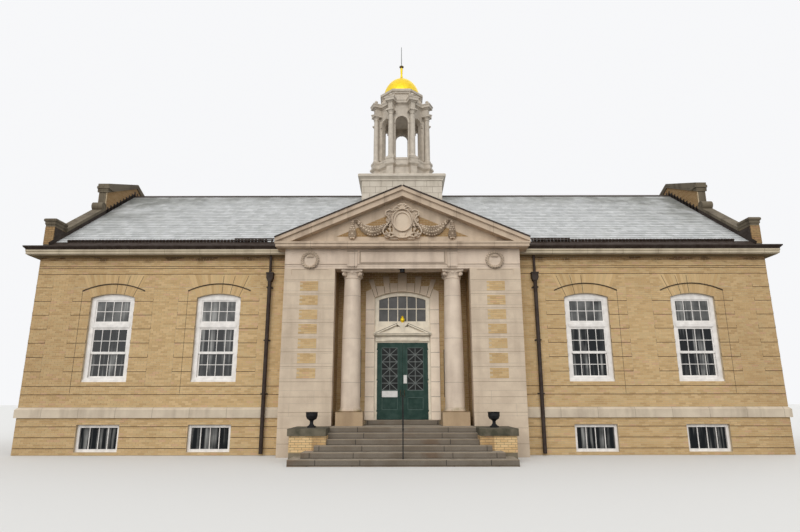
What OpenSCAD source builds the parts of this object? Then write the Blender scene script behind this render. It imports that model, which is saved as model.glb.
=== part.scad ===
// Brick town hall of one storey with a pedimented limestone portico and an octagonal belfry.
// Lengths are in millimetres. Across is X, back from the front wall is Y, up is Z.

/* [Main block] */
// Length of the main block between the outer faces of its gable walls
hall_l = 25200; // [22000:100:30000]
// Depth of the main block between the outer faces of its long walls
hall_d = 10900; // [9500:100:12500]
// Thickness of the long walls
wall_t = 400; // [300:10:500]
// Thickness of the gable walls and their parapets
gable_t = 330; // [250:10:450]
// Height of the brick walls up to the soffit of the cornice
wall_h = 6590; // [6300:10:7000]
// Height of the foot of the limestone water table
table_z = 1170; // [1100:10:1300]
// Height of the water table
table_h = 330; // [200:10:400]
// Projection of the water table
table_out = 70; // [40:5:120]
// Height of the top of the hall floor
floor_z = 1050; // [900:10:1070]
// Thickness of the hall floor
floor_t = 250; // [150:10:350]

/* [Eaves and roof] */
// Height of the limestone cornice at the eaves
cornice_h = 180; // [140:10:260]
// Projection of the cornice beyond the walls
cornice_out = 350; // [250:10:450]
// Length of the cornice's return along each gable wall, from the front wall's face
return_l = 650; // [500:10:800]
// Height of the gutter
gutter_h = 134; // [100:2:180]
// Width of the gutter across its trough
gutter_w = 220; // [160:10:260]
// How far the gutter stands out beyond the cornice
gutter_over = 70; // [30:5:100]
// Wall of the gutter
gutter_wall = 12; // [6:1:20]
// Rise of the main roof for each unit of run
roof_pitch = 0.7; // [0.6:0.01:0.8]
// Thickness of the roof, measured straight up
roof_t = 240; // [160:10:320]
// Distance of the roof's foot in front of the wall
roof_over = 200; // [120:10:260]
// Width of the ridge cap
ridge_w = 300; // [200:10:400]
// Thickness of the ridge cap
ridge_t = 40; // [20:5:60]
// Diameter of the downspouts
spout_d = 130; // [100:5:160]
// Distance of the downspouts from the middle of the front
spout_x = 4540; // [4400:10:4900]
// Diameter of the snow rails
rail_d = 40; // [30:2:60]
// Length of each snow rail
snow_l = 1400; // [1000:50:2000]

/* [Gable parapets] */
// Height of the parapet brickwork above the roof, measured straight up
parapet_h = 200; // [200:10:450]
// Thickness of the coping stones, measured straight up
coping_t = 130; // [100:10:200]
// Overhang of the coping stones at each face
coping_out = 50; // [20:5:80]
// Depth of each pedestal at the foot of the gable
pedestal_d = 650; // [500:10:640]
// Height of the top of the foot pedestals
pedestal_top = 8000; // [7900:10:8300]
// Distance from the front wall's face to the raised middle of the gable
crown_y = 3040; // [2600:10:3300]
// Height of the brickwork at the shoulders of the raised middle
crown_z = 10150; // [10100:10:10500]
// Rise of the low pediment of the raised middle for each unit of run
crown_pitch = 0.456; // [0.3:0.01:0.5]
// Radius of the scroll at the top of each raking coping
scroll_r = 180; // [120:5:220]

/* [Windows] */
// Width of the window openings
win_w = 1500; // [1200:10:1700]
// Height of the sills of the windows
win_z = 2320; // [2200:10:2400]
// Height where the window arches spring
win_spring = 5150; // [4800:10:5400]
// Rise of the window arches
win_rise = 130; // [80:5:250]
// Distance between the middles of neighbouring windows
win_pitch = 3630; // [3400:10:3900]
// Distance of the inner front windows from the middle of the front
win_x = 6280; // [6100:10:6600]
// Distance between the two windows of a gable wall
side_pitch = 4400; // [3600:10:4800]
// Width of the wooden frame's members
frame_w = 150; // [100:5:180]
// Depth of the wooden frame
frame_d = 120; // [80:5:160]
// Distance of the frame's face behind the wall's face
reveal = 90; // [40:5:150]
// Thickness of the window glass
glass_t = 8; // [5:1:12]
// Height of the foot of the top lights
top_light_z = 4300; // [4000:10:4500]
// Height of the top of the top lights
top_light_end = 5070; // [4900:10:5110]
// Height of the transoms under the top lights
transom_h = 190; // [120:10:220]
// Height of the middle of the meeting rails
meeting_z = 3280; // [3000:10:3500]
// Width of the sashes' stiles and rails
sash_w = 45; // [35:1:60]
// Thickness of each sash
sash_t = 40; // [32:1:44]
// Width of the basement windows' frames
low_frame = 90; // [60:5:120]
// Height of the bottom of the basement windows
low_z = 100; // [80:5:200]
// Height of the basement windows
low_h = 850; // [600:10:900]
// Width of the basement windows
low_w = 1400; // [1000:10:1600]

/* [Portico] */
// Overall width of the portico
port_w = 7870; // [7600:10:8400]
// Distance of the portico's face in front of the hall wall
port_out = 700; // [500:10:900]
// Clear width between the piers
port_open = 4500; // [4300:10:4800]
// Height of the entablature's foot
port_h = 6000; // [5900:10:6100]
// Height of the entablature under the portico's cornice
ent_h = 670; // [600:10:740]
// Thickness of the piers' stone fronts
pier_t = 400; // [300:10:450]
// Thickness of the porch's side walls
side_t = 300; // [200:10:350]
// Distance of the porch's back wall behind the hall wall's face
porch_in = 600; // [450:10:800]
// Thickness of the porch's back wall
porch_t = 300; // [250:10:400]
// Height of each brick panel in the piers
panel_h = 320; // [280:5:360]
// Distance from one brick panel to the next
panel_pitch = 474; // [440:2:500]
// Width of the brick panels
panel_w = 600; // [400:10:700]
// Distance of the lowest brick panel's foot below the entablature
panel_drop = 3600; // [3500:10:3700]
// Number of brick panels in a pier
panel_n = 7; // [5:1:7]
// Depth of the brick panels
panel_t = 60; // [30:5:100]
// Height of the portico's level cornice
port_cornice_h = 190; // [150:5:230]
// Projection of the portico's cornices
port_cornice_out = 315; // [250:5:350]
// Rise of the pediment for each unit of run
pediment_pitch = 0.43; // [0.4:0.002:0.5]
// Thickness of the raking cornice, measured straight up
raking_t = 350; // [300:10:400]
// Height of the raking cornice's upright ends above the level cornice
rake_end = 150; // [100:5:180]
// Depth of the tympanum behind the portico's face
tympanum_in = 60; // [30:5:120]
// Thickness of the portico's roof, measured straight up
port_roof_t = 160; // [100:10:200]
// Height of the porch's ceiling above the entablature's foot
ceiling_rise = 200; // [120:10:260]
// Thickness of the porch's ceiling
ceiling_t = 120; // [80:10:200]

/* [Columns] */
// Distance of the columns from the middle
col_x = 1690; // [1640:10:1720]
// Distance of the columns' axes behind the portico's face
col_in = 430; // [400:10:450]
// Width of the plinths
plinth_w = 860; // [820:10:920]
// Height of the plinths
plinth_h = 430; // [300:10:450]
// Height of the moulded bases
base_h = 130; // [120:5:180]
// Diameter of the shafts at the foot
shaft_d = 630; // [560:10:640]
// Diameter of the shafts at the neck
neck_d = 540; // [480:10:560]
// Height of the capitals
capital_h = 300; // [260:10:400]
// Width of the abacus
abacus_w = 710; // [660:10:760]

/* [Doorway] */
// Width of the pair of doors
doors_w = 1760; // [1600:10:1800]
// Height of the doors' feet
door_z = 1090; // [1085:1:1100]
// Height of the doors
door_h = 2570; // [2300:10:2600]
// Thickness of the door leaves
leaf_t = 50; // [44:1:60]
// Gap round each door leaf
leaf_gap = 6; // [5:1:8]
// Height of the foot of the glass above the doors' feet
glass_low = 960; // [850:10:1050]
// Height of the top of the glass above the doors' feet
glass_high = 2400; // [2250:10:2420]
// Height of the handles above the doors' feet
handle_z = 860; // [800:10:1000]
// Width of the leaves' stiles
stile_w = 165; // [120:5:180]
// Inner width of the stone doorway
doorway_w = 1940; // [1900:10:2000]
// Width of the stone jambs
jamb_w = 310; // [200:10:320]
// Projection of the stone doorway from the porch wall
jamb_out = 60; // [30:5:100]
// Depth of the arch's springing below the porch ceiling
arch_drop = 760; // [700:10:800]
// Rise of the doorway's arch
arch_rise = 210; // [150:10:240]
// Height of the keystone's top above the arch's springing
key_rise = 860; // [800:10:920]
// Lean of the arch's outermost joints in degrees
arch_lean = 19; // [15:1:22]
// Height of the foot of the transom light
light_z = 4410; // [4370:10:4450]
// Height of the hood's frieze
frieze_h = 190; // [150:10:240]
// Half width of the hood's cornice
hood_half = 1000; // [975:5:1020]
// Radius of the hood's pineapple
pine_r = 80; // [50:5:90]

/* [Steps] */
// Number of risers
riser_n = 6; // [5:1:7]
// Height of the porch floor
porch_z = 935; // [900:5:980]
// Height of the lowest riser
first_riser = 175; // [150:5:200]
// Depth of the treads
tread_d = 355; // [300:5:370]
// Distance of the top nosing in front of the hall wall's face
top_nosing = 1430; // [1400:10:1500]
// Half width of the steps between the cheek blocks
step_half = 2200; // [2100:10:2240]
// How much wider each lower step is at each end
step_spread = 300; // [200:10:330]
// Height of the threshold above the porch floor
threshold_h = 145; // [120:5:150]
// Width of the cheek blocks
cheek_w = 1050; // [900:10:1200]
// Length of the cheek blocks
cheek_l = 1550; // [1400:10:1700]
// Height of the cheek blocks
cheek_h = 930; // [850:10:1000]
// Height of the urns
urn_h = 450; // [350:10:550]
// Thickness of the handrail
hand_d = 42; // [34:1:50]
// Height of the handrail above the nosings
hand_h = 880; // [800:10:950]

/* [Cupola] */
// Width of the cupola's square base
tower_w = 3450; // [3200:10:3700]
// Height of the top of the base's cap above the ridge
tower_rise = 350; // [320:10:500]
// Height of the base's cap
tower_cap_h = 280; // [200:10:320]
// Overhang of the base's cap
tower_cap_out = 160; // [100:10:200]
// Height of the pedestal of the belfry
ring_h = 770; // [600:10:900]
// Distance of the pedestal's flat sides from the axis
ring_r = 1250; // [1200:10:1300]
// Height of the plinth above the pedestal
sill_h = 280; // [200:10:320]
// Distance of the belfry wall's flat sides from the axis
belfry_r = 1000; // [960:10:1040]
// Thickness of the belfry wall
belfry_t = 200; // [150:10:240]
// Height of the belfry's columns
belfry_h = 2340; // [2000:10:2400]
// Width of the belfry's arches
belfry_arch = 560; // [400:10:580]
// Height of the arches' springing above the belfry's sill
belfry_spring = 1840; // [1500:10:1860]
// Diameter of the belfry's columns
turn_d = 250; // [200:5:260]
// Height of the belfry's entablature
belfry_ent = 580; // [540:10:700]
// Height of the attic under the dome
attic_h = 605; // [560:5:700]
// Distance of the attic's flat sides from the axis
attic_r = 900; // [850:10:950]
// Radius of the dome's foot
dome_r = 860; // [800:10:880]
// Height of the dome
dome_h = 1095; // [900:5:1150]
// Thickness of the dome's shell
dome_t = 60; // [30:5:80]
// Height of the finial above the dome
finial_h = 1800; // [1400:10:2000]

/* [Hidden] */
$fn = 48;

brick = "burlywood";
stone = "antiquewhite";
granite = "darkgray";
slate = "lightslategray";
metal = "#3a2f28";
white = "white";
cream = "#e6dcc0";
green = "#1f4a35";
gold = "gold";
paint = "#c9bda6";
eps = 1;

half_l = hall_l / 2;
mid_y = hall_d / 2;
port_half = port_w / 2;
open_half = port_open / 2;
cornice_z = wall_h + cornice_h;
step_front = top_nosing + (riser_n - 1) * tread_d;
eave_back = hall_d + cornice_out + gutter_over;
// the origin lies under the middle of the outline of everything on the ground plan
centre_y = (eave_back - step_front) / 2;

// height of the main roof's upper face, y behind the front wall's face
function roof_z(y) = cornice_z + gutter_h + roof_pitch * (roof_over + min(y, hall_d - y));
ridge_z = roof_z(mid_y);
window_ys = [mid_y - side_pitch / 2, mid_y + side_pitch / 2];
front_xs = [win_x, win_x + win_pitch];
back_xs = concat([win_x - win_pitch], front_xs);

// half height of the pediment's upper face over a point x
ent_top = port_h + ent_h;
arch_spring = port_h - arch_drop;
port_cornice_z = ent_top;
gable_foot = port_cornice_z + port_cornice_h;
pediment_half = port_half + port_cornice_out;
function pediment_z(x) = gable_foot + rake_end + pediment_pitch * (pediment_half - abs(x));
panel_z = port_h - panel_drop;
ceiling_z = port_h + ceiling_rise;

col_y = col_in - port_out;
riser_h = (porch_z - first_riser) / (riser_n - 1);
tower_z = ridge_z + tower_rise;
sill_z = tower_z + ring_h + sill_h;
belfry_top = sill_z + belfry_h;
attic_z = belfry_top + belfry_ent;
dome_z = attic_z + attic_h;
threshold_z = porch_z + threshold_h;

// moves the hall so that the origin is under the middle of its plan
module place() { translate([0, -centre_y, 0]) children(); }
module both() { children(); mirror([1, 0, 0]) children(); }
module front_and_back() {
  children();
  translate([0, hall_d, 0]) mirror([0, 1, 0]) children();
}

// a box from its low corner to its high corner
module block(low, high) { translate(low) cube(high - low); }

// an outline of [x, z] points carried along Y from y0 to y1
module along_y(points, y0, y1) {
  translate([0, y1, 0]) rotate([90, 0, 0]) linear_extrude(y1 - y0) polygon(points);
}

// an outline of [y, z] points carried along X from x0 to x1
module along_x(points, x0, x1) {
  translate([x0, 0, 0]) rotate([90, 0, 90]) linear_extrude(x1 - x0) polygon(points);
}

// both sides of a profile of [projection, z] points round a middle line, as a closed outline
function doubled(points, half) = concat(
  [for (p = points) [half + p[0], p[1]]],
  [for (i = [len(points) - 1:-1:0]) [-half - points[i][0], points[i][1]]]);

// a rectangular block whose four sides carry one moulding, with mitred corners
module moulded(points, hx, hy) {
  intersection() {
    along_y(doubled(points, hx), -2 * hy, 2 * hy);
    along_x(doubled(points, hy), -2 * hx, 2 * hx);
  }
}

// an eight-sided block whose sides carry one moulding, r from the axis to a flat side
module moulded_octagon(points, r) {
  intersection() {
    moulded(points, r, r);
    rotate([0, 0, 45]) moulded(points, r, r);
  }
}

window_sill = 70;
sill_out = 45;

// the radius of an arch from its half span and its rise
function arch_r(half, rise) = (half * half + rise * rise) / (2 * rise);

// a segmental-headed outline, in x and z, grown outwards by the amount grow
function arched(w, z0, spring, rise, grow = 0) =
  let (
    half = w / 2,
    r = arch_r(half, rise),
    cz = spring + rise - r,
    turn = asin(half / r)
  )
  concat(
    [[-half - grow, z0 - grow], [half + grow, z0 - grow]],
    [for (i = [0:12])
      let (a = turn * (1 - i / 6))
      [a == turn ? half + grow : a == -turn ? -half - grow : (r + grow) * sin(a),
       i == 0 || i == 12 ? spring : cz + (r + grow) * cos(a)]]);

module window_hole(x) {
  translate([x, 0, 0]) along_y(arched(win_w, win_z, win_spring, win_rise), -eps, wall_t + eps);
  block([x - low_w / 2, -eps, low_z], [x + low_w / 2, wall_t + eps, low_z + low_h]);
}

// the wooden openings of one window: top light, upper sash and lower sash, as low and high corners
glass_half = win_w / 2 - frame_w;
lights = [
  [[-glass_half, top_light_z], [glass_half, top_light_end]],
  [[-glass_half, meeting_z - sash_w / 2], [glass_half, top_light_z - transom_h]],
  [[-glass_half, win_z + frame_w], [glass_half, meeting_z + sash_w / 2]]
];
// the upper sash slides in front of the lower one, and the top light is fixed level with it
light_ys = [frame_d / 2 - sash_t, frame_d / 2 - sash_t, frame_d / 2];

// one white wooden window: a frame with its sill and transom, a top light and two sashes
module window_frame(x) {
  translate([x, reveal, 0]) {
    difference() {
      along_y(arched(win_w, win_z, win_spring, win_rise), 0, frame_d);
      block([-glass_half, -eps, top_light_z], [glass_half, frame_d + eps, top_light_end]);
      block([-glass_half, -eps, win_z + frame_w],
        [glass_half, frame_d + eps, top_light_z - transom_h]);
    }
    block([-win_w / 2, -sill_out, win_z], [win_w / 2, 0, win_z + window_sill]);
    block([-glass_half - 40, -18, top_light_z - transom_h + 30], [glass_half + 40, 0, top_light_z - 60]);
    for (i = [0:2]) difference() {
      block([lights[i][0][0], light_ys[i], lights[i][0][1]],
        [lights[i][1][0], light_ys[i] + sash_t, lights[i][1][1]]);
      block([lights[i][0][0] + sash_w, light_ys[i] - eps, lights[i][0][1] + sash_w],
        [lights[i][1][0] - sash_w, light_ys[i] + sash_t + eps, lights[i][1][1] - sash_w]);
    }
  }
  translate([x, reveal, low_z]) difference() {
    block([-low_w / 2, 0, 0], [low_w / 2, frame_d, low_h]);
    block([low_frame - low_w / 2, -eps, low_frame],
      [low_w / 2 - low_frame, frame_d + eps, low_h - low_frame]);
  }
}

// the three panes of one window and the pane of the basement window below it
module window_panes(x) {
  translate([x, reveal, 0]) for (i = [0:2])
    block([lights[i][0][0] + sash_w, light_ys[i] + sash_t / 2, lights[i][0][1] + sash_w],
      [lights[i][1][0] - sash_w, light_ys[i] + sash_t / 2 + glass_t, lights[i][1][1] - sash_w]);
  translate([x, reveal + frame_d / 2, low_z])
    block([low_frame - low_w / 2, 0, low_frame],
      [low_w / 2 - low_frame, glass_t, low_h - low_frame]);
}

module at_windows() {
  both() for (x = front_xs) translate([x, 0, 0]) children();
  translate([0, hall_d, 0]) mirror([0, 1, 0])
    both() for (x = back_xs) translate([x, 0, 0]) children();
  both() for (y = window_ys) translate([half_l, y, 0]) rotate([0, 0, 90]) children();
}

module front_wall() {
  difference() {
    block([side_t + open_half, 0, 0], [half_l, wall_t, wall_h]);
    for (x = front_xs) window_hole(x);
  }
}
module front_wall_left() { color(brick) place() mirror([1, 0, 0]) front_wall(); }
module front_wall_right() { color(brick) place() front_wall(); }

module back_wall() {
  color(brick) place() translate([0, hall_d, 0]) mirror([0, 1, 0]) difference() {
    block([-half_l, 0, 0], [half_l, wall_t, wall_h]);
    for (x = back_xs) { window_hole(x); window_hole(-x); }
  }
}

// the gable wall from the ground to the foot of its copings
crown_peak = crown_z + crown_pitch * (mid_y - crown_y);
function parapet_z(y) = roof_z(y) + parapet_h;
gable_outline = [
  [wall_t, 0], [hall_d - wall_t, 0], [hall_d - wall_t, cornice_z],
  [hall_d - pedestal_d, cornice_z], [hall_d - pedestal_d, parapet_z(pedestal_d)],
  [hall_d - crown_y, parapet_z(crown_y)], [hall_d - crown_y, crown_z], [mid_y, crown_peak],
  [crown_y, crown_z], [crown_y, parapet_z(crown_y)], [pedestal_d, parapet_z(pedestal_d)],
  [pedestal_d, cornice_z], [wall_t, cornice_z]
];
module gable_wall() {
  difference() {
    along_x(gable_outline, half_l - gable_t, half_l);
    for (y = window_ys) translate([half_l, y, 0]) rotate([0, 0, 90]) window_hole(0);
  }
}
module gable_wall_left() { color(brick) place() mirror([1, 0, 0]) gable_wall(); }
module gable_wall_right() { color(brick) place() gable_wall(); }

// limestone band round the hall with a weathered top, cut off against the portico
table_profile = [[0, table_z], [table_out, table_z], [table_out, table_z + table_h - table_out],
  [0, table_z + table_h]];
module water_table() {
  color(stone) place() difference() {
    translate([0, mid_y, 0]) moulded(table_profile, half_l, mid_y);
    block([-half_l, 0, 0], [half_l, hall_d, wall_h]);
    block([-port_half, -port_out, 0], [port_half, 0, wall_h]);
  }
}

// limestone cornice: a flat soffit, a fascia and a small cove under the gutter
cornice_profile = [[0, wall_h], [cornice_out - 60, wall_h], [cornice_out - 60, wall_h + 30],
  [cornice_out - 15, wall_h + 30], [cornice_out - 15, wall_h + 110],
  [cornice_out, wall_h + 125], [cornice_out, cornice_z], [0, cornice_z]];
module eaves_cornice() {
  color(stone) place() difference() {
    translate([0, mid_y, 0]) moulded(cornice_profile, half_l, mid_y);
    block([-half_l, wall_t, 0], [half_l, hall_d - wall_t, cornice_z + eps]);
    block([-half_l - 2 * cornice_out, return_l, 0], [half_l + 2 * cornice_out, hall_d - return_l,
      cornice_z + eps]);
    block([-port_half, -2 * cornice_out, 0], [port_half, wall_t + eps, cornice_z + eps]);
    block([-pediment_half, -2 * cornice_out, port_cornice_z], [pediment_half, 0, cornice_z + eps]);
  }
}

// moulded gutter with an open trough, its returns, and a downspout at each side of the portico
gutter_profile = [[cornice_out - gutter_w + gutter_over, cornice_z], [cornice_out - 5, cornice_z],
  [cornice_out + 5, cornice_z + 30], [cornice_out + gutter_over - 20, cornice_z + 75],
  [cornice_out + gutter_over, cornice_z + 95], [cornice_out + gutter_over, cornice_z + gutter_h],
  [cornice_out - gutter_w + gutter_over, cornice_z + gutter_h]];
spout_y = -spout_d / 2 - table_out - 6;
module gutter_body() {
  difference() {
    translate([0, mid_y, 0]) moulded(gutter_profile, half_l, mid_y);
    block([-half_l - cornice_out + gutter_w - gutter_over, -cornice_out + gutter_w - gutter_over, 0],
      [half_l + cornice_out - gutter_w + gutter_over, hall_d + cornice_out - gutter_w + gutter_over,
      cornice_z + gutter_h + eps]);
    block([-half_l - 2 * cornice_out, return_l, 0], [half_l + 2 * cornice_out, hall_d - return_l,
      cornice_z + gutter_h + eps]);
    block([-pediment_half - 20, -2 * cornice_out, 0], [pediment_half + 20, wall_t,
      cornice_z + gutter_h + eps]);
    difference() {
      block([-half_l - cornice_out + 15, -cornice_out + 15, cornice_z + 45],
        [half_l + cornice_out - 15, hall_d + cornice_out - 15, cornice_z + gutter_h + eps]);
      block([-half_l - cornice_out + gutter_w - gutter_over - gutter_wall,
        -cornice_out + gutter_w - gutter_over - gutter_wall, 0],
        [half_l + cornice_out - gutter_w + gutter_over + gutter_wall,
        hall_d + cornice_out - gutter_w + gutter_over + gutter_wall, cornice_z + gutter_h + eps]);
      for (s = [-1, 1]) translate([s * (pediment_half + 20 + gutter_wall / 2), 0, 0])
        block([-gutter_wall / 2, -2 * cornice_out, 0], [gutter_wall / 2, 0, cornice_z + gutter_h]);
      for (y = [return_l - gutter_wall, hall_d - return_l])
        block([-half_l - 2 * cornice_out, y, 0], [half_l + 2 * cornice_out, y + gutter_wall,
          cornice_z + gutter_h]);
    }
  }
}
spout_head_z = 5690;
spout_head_h = 300;
spout_straps = [1900, 3650, 5450];
module downspout() {
  neck = 90;
  head = 110;
  top = spout_head_z + spout_head_h;
  translate([spout_x, spout_y, 0]) {
    along_y([[-head * 0.6, spout_head_z], [head * 0.6, spout_head_z], [head, spout_head_z + 110],
      [head, top], [-head, top], [-head, spout_head_z + 110]], -head + 30, -spout_y);
    block([-head - 15, 15 - head, top - 40], [head + 15, -spout_y, top]);
    translate([0, 0, 60]) cylinder(d = spout_d, h = spout_head_z - 60);
    translate([0, 0, top]) cylinder(d = neck, h = wall_h - top);
    for (z = spout_straps) {
      cylinder_band(z);
      block([-105, -spout_y - 12, z], [105, -spout_y, z + 50]);
      for (s = [-1, 1]) translate([s * 85, 0, z + 25]) rotate([-90, 0, 0])
        cylinder(d = 24, h = -spout_y);
    }
  }
}
module cylinder_band(z) {
  translate([0, 0, z]) cylinder(d = spout_d + 16, h = 50);
  block([-100, -10, z], [100, 10, z + 50]);
}
module gutters_and_downspouts() {
  color(metal) place() {
    gutter_body();
    both() downspout();
  }
}

// a slope of the main roof: an inclined slab whose foot stands on the cornice
slope_foot = (cornice_z + roof_t - cornice_z - gutter_h) / roof_pitch - roof_over;
slope_outline = [[-roof_over, cornice_z], [slope_foot, cornice_z], [mid_y, ridge_z - roof_t],
  [mid_y, ridge_z], [-roof_over, cornice_z + gutter_h]];
module roof_slope() { along_x(slope_outline, -half_l + gable_t, half_l - gable_t); }
module roof_front() {
  color(slate) place() difference() {
    roof_slope();
    block([-pediment_half - 20, -roof_over - eps, 0], [pediment_half + 20, 0, ridge_z]);
  }
}
module roof_back() {
  color(slate) place() translate([0, hall_d, 0]) mirror([0, 1, 0]) roof_slope();
}

// ridge cap between the gables and the cupola, and the two pipes over each eave end
cap_half = ridge_w / 2;
ridge_outline = [[-cap_half, ridge_z - roof_pitch * cap_half], [0, ridge_z],
  [cap_half, ridge_z - roof_pitch * cap_half],
  [cap_half, ridge_z - roof_pitch * cap_half + ridge_t], [0, ridge_z + ridge_t],
  [-cap_half, ridge_z - roof_pitch * cap_half + ridge_t]];
module snow_rail() {
  post_n = 4;
  x0 = spout_x;
  y0 = 60;
  for (row = [0, 1]) translate([x0, y0 + row * 130, roof_z(y0 + row * 130) + 120])
    rotate([0, 90, 0]) cylinder(d = rail_d, h = snow_l);
  for (i = [0:post_n - 1]) {
    px = x0 + 60 + i * (snow_l - 120) / (post_n - 1);
    along_x([[y0 - 60, roof_z(y0 - 60)], [y0 + 190, roof_z(y0 + 190)],
      [y0 + 160, roof_z(y0 + 130) + 150], [y0 - 20, roof_z(y0) + 130]], px - 10, px + 10);
  }
}
module ridge_and_snow_rails() {
  color(metal) place() {
    both() translate([0, mid_y, 0])
      along_x(ridge_outline, tower_w / 2, half_l - gable_t);
    both() snow_rail();
  }
}

// coping stones up each rake, with a scroll at the top, and the raised middle's pediment stones
scroll_lift = 80;
crown_cap = 400;
function rake(y, lift) = [y, parapet_z(y) + lift];
module gable_coping() {
  front_and_back() {
    along_x([rake(pedestal_d, 0), rake(crown_y, 0), rake(crown_y, coping_t),
      rake(pedestal_d, coping_t)], half_l - gable_t - coping_out, half_l + coping_out);
    difference() {
      translate([half_l - gable_t - coping_out, crown_y - scroll_r, parapet_z(crown_y - scroll_r)
        + coping_t + scroll_lift]) rotate([0, 90, 0]) difference() {
          cylinder(r = scroll_r, h = gable_t + 2 * coping_out);
          for (x = [-eps, gable_t + 2 * coping_out - 12]) translate([0, 0, x]) difference() {
            cylinder(r = scroll_r - 40, h = 12 + eps);
            translate([0, 0, -eps]) cylinder(r = scroll_r - 100, h = 12 + 3 * eps);
          }
        }
      for (cap = [[60, 0, 90], [100, 90, 220], [75, 220, 270]])
        block([half_l - gable_t - cap[0], crown_y - cap[0], crown_z + cap[1]],
          [half_l + cap[0], crown_y + crown_cap + cap[0], crown_z + cap[2]]);
      along_x(gable_outline, half_l - gable_t, half_l);
    }
  }
  top = crown_pitch * (mid_y - crown_y + coping_out);
  along_x([[crown_y - coping_out, crown_z], [crown_y, crown_z], [mid_y, crown_peak],
    [hall_d - crown_y, crown_z], [hall_d - crown_y + coping_out, crown_z],
    [hall_d - crown_y + coping_out, crown_z + coping_t], [mid_y, crown_z + coping_t + top],
    [crown_y - coping_out, crown_z + coping_t]],
    half_l - gable_t - coping_out, half_l + coping_out);
}
module gable_copings() { color(stone) place() both() gable_coping(); }

// a pedestal at each foot of the gables: base, die and moulded cap
module gable_pedestals() {
  hx = gable_t / 2;
  hy = pedestal_d / 2;
  cap = 240;
  color(stone) place() both() front_and_back()
    translate([half_l - hx, hy, 0]) {
      block([-hx, -hy, cornice_z], [hx, hy, pedestal_top - cap]);
      intersection() {
        moulded([[0, pedestal_top - cap], [25, pedestal_top - cap + 40],
          [25, pedestal_top - cap + 110], [60, pedestal_top - cap + 150], [60, pedestal_top - 30],
          [30, pedestal_top]], hx, hy);
        block([-2 * hx, -2 * hy, 0], [2 * hx, hy, pedestal_top]);
      }
    }
}

module window_frames() { color(white) place() at_windows() window_frame(0); }
module window_glass() { color("lightblue", 0.4) place() at_windows() window_panes(0); }

module hall_floor() {
  color("peru") place() difference() {
    block([-half_l + gable_t, wall_t, floor_z - floor_t],
      [half_l - gable_t, hall_d - wall_t, floor_z]);
    block([-open_half - side_t, 0, 0], [open_half + side_t, porch_in + porch_t, wall_h]);
  }
}

// stone front of one pier, with a wide sunk tablet at its head and a pocket for each brick panel
pier_mid = (port_half + open_half) / 2;
module pier() {
  tablet_w = 1220;
  tablet_z = port_h - 200;
  difference() {
    block([open_half, -port_out, 0], [port_half, pier_t - port_out, port_h]);
    for (i = [0:panel_n - 1]) panel(i, eps);
    block([pier_mid - tablet_w / 2, -port_out - eps, tablet_z],
      [pier_mid + tablet_w / 2, 15 - port_out, port_h - 30]);
  }
}
module panel(i, proud) {
  z = panel_z + i * panel_pitch;
  block([pier_mid - panel_w / 2, -port_out - proud, z],
    [pier_mid + panel_w / 2, panel_t - port_out, z + panel_h]);
}
module portico_piers() { color(stone) place() both() pier(); }

// triangular outline between the level cornice and the raking cornice, with its foot lifted by the
// amount lift and its slopes lowered by the amount drop
function pediment(lift, drop) =
  let (
    foot = gable_foot + lift,
    top = pediment_z(0) - raking_t - drop
  )
  [[-(top - foot) / pediment_pitch, foot], [(top - foot) / pediment_pitch, foot], [0, top]];
infill_lift = 260;
infill_drop = 400;
module brick_inlays() {
  color(brick) place() {
    both() for (i = [0:panel_n - 1]) panel(i, 0);
    along_y(pediment(infill_lift, infill_drop), tympanum_in - port_out,
      tympanum_in - port_out + panel_t);
  }
}

// brick side walls of the porch, and the outer returns of the portico
module porch_side_walls() {
  color(brick) place() both() {
    block([open_half, pier_t - port_out, 0], [open_half + side_t, porch_in + porch_t, port_h]);
    block([open_half, beam_t - port_out, port_h], [open_half + side_t, porch_in + porch_t, ceiling_z]);
    block([port_half - side_t, pier_t - port_out, 0], [port_half, 0, port_h]);
  }
}

doorway_half = doorway_w / 2;
module porch_wall_beside() {
  color(brick) place() both()
    block([doorway_half, porch_in, 0], [open_half, porch_in + porch_t, arch_spring]);
}
module porch_wall_over() {
  color(brick) place() difference() {
    block([-open_half, porch_in, arch_spring], [open_half, porch_in + porch_t, ceiling_z]);
    along_y(arched(doorway_w, arch_spring - eps, arch_spring, arch_rise), porch_in - eps,
      porch_in + porch_t + eps);
  }
}

// one column: a square plinth and moulded base, a tapering shaft and a flaring capital
base_top = porch_z + plinth_h + base_h;
capital_z = port_h - capital_h;
shaft_r = shaft_d / 2;
neck_r = neck_d / 2;
module at_columns() {
  both() translate([col_x, col_y, 0]) children();
}
function half_round(r, z, h) = [for (a = [-90:15:90]) [r + h / 2 * cos(a), z + h / 2 + h / 2 * sin(a)]];
module column_bases() {
  z = porch_z + plinth_h;
  torus = base_h * 0.42;
  color(stone) place() at_columns() {
    block([-plinth_w / 2, -plinth_w / 2, porch_z], [plinth_w / 2, plinth_w / 2, z]);
    rotate_extrude() polygon(concat([[0, z]], half_round(shaft_r + 62 - torus / 2, z, torus),
      [[shaft_r + 25, z + torus], [shaft_r + 18, z + torus + 25]],
      half_round(shaft_r + 12, z + torus + 25, base_h - torus - 48),
      [[shaft_r + 10, base_top - 20], [shaft_r + 10, base_top], [0, base_top]]));
  }
}
module column_shafts() {
  swell = 8;
  steps_n = 8;
  h = capital_z - base_top;
  color(stone) place() at_columns() rotate_extrude()
    polygon(concat([[0, base_top]],
      [for (i = [0:steps_n])
        let (t = i / steps_n)
        [shaft_r + (neck_r - shaft_r) * pow(t, 1.6) + swell * sin(180 * t), base_top + h * t]],
      [[0, capital_z]]));
}
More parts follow.
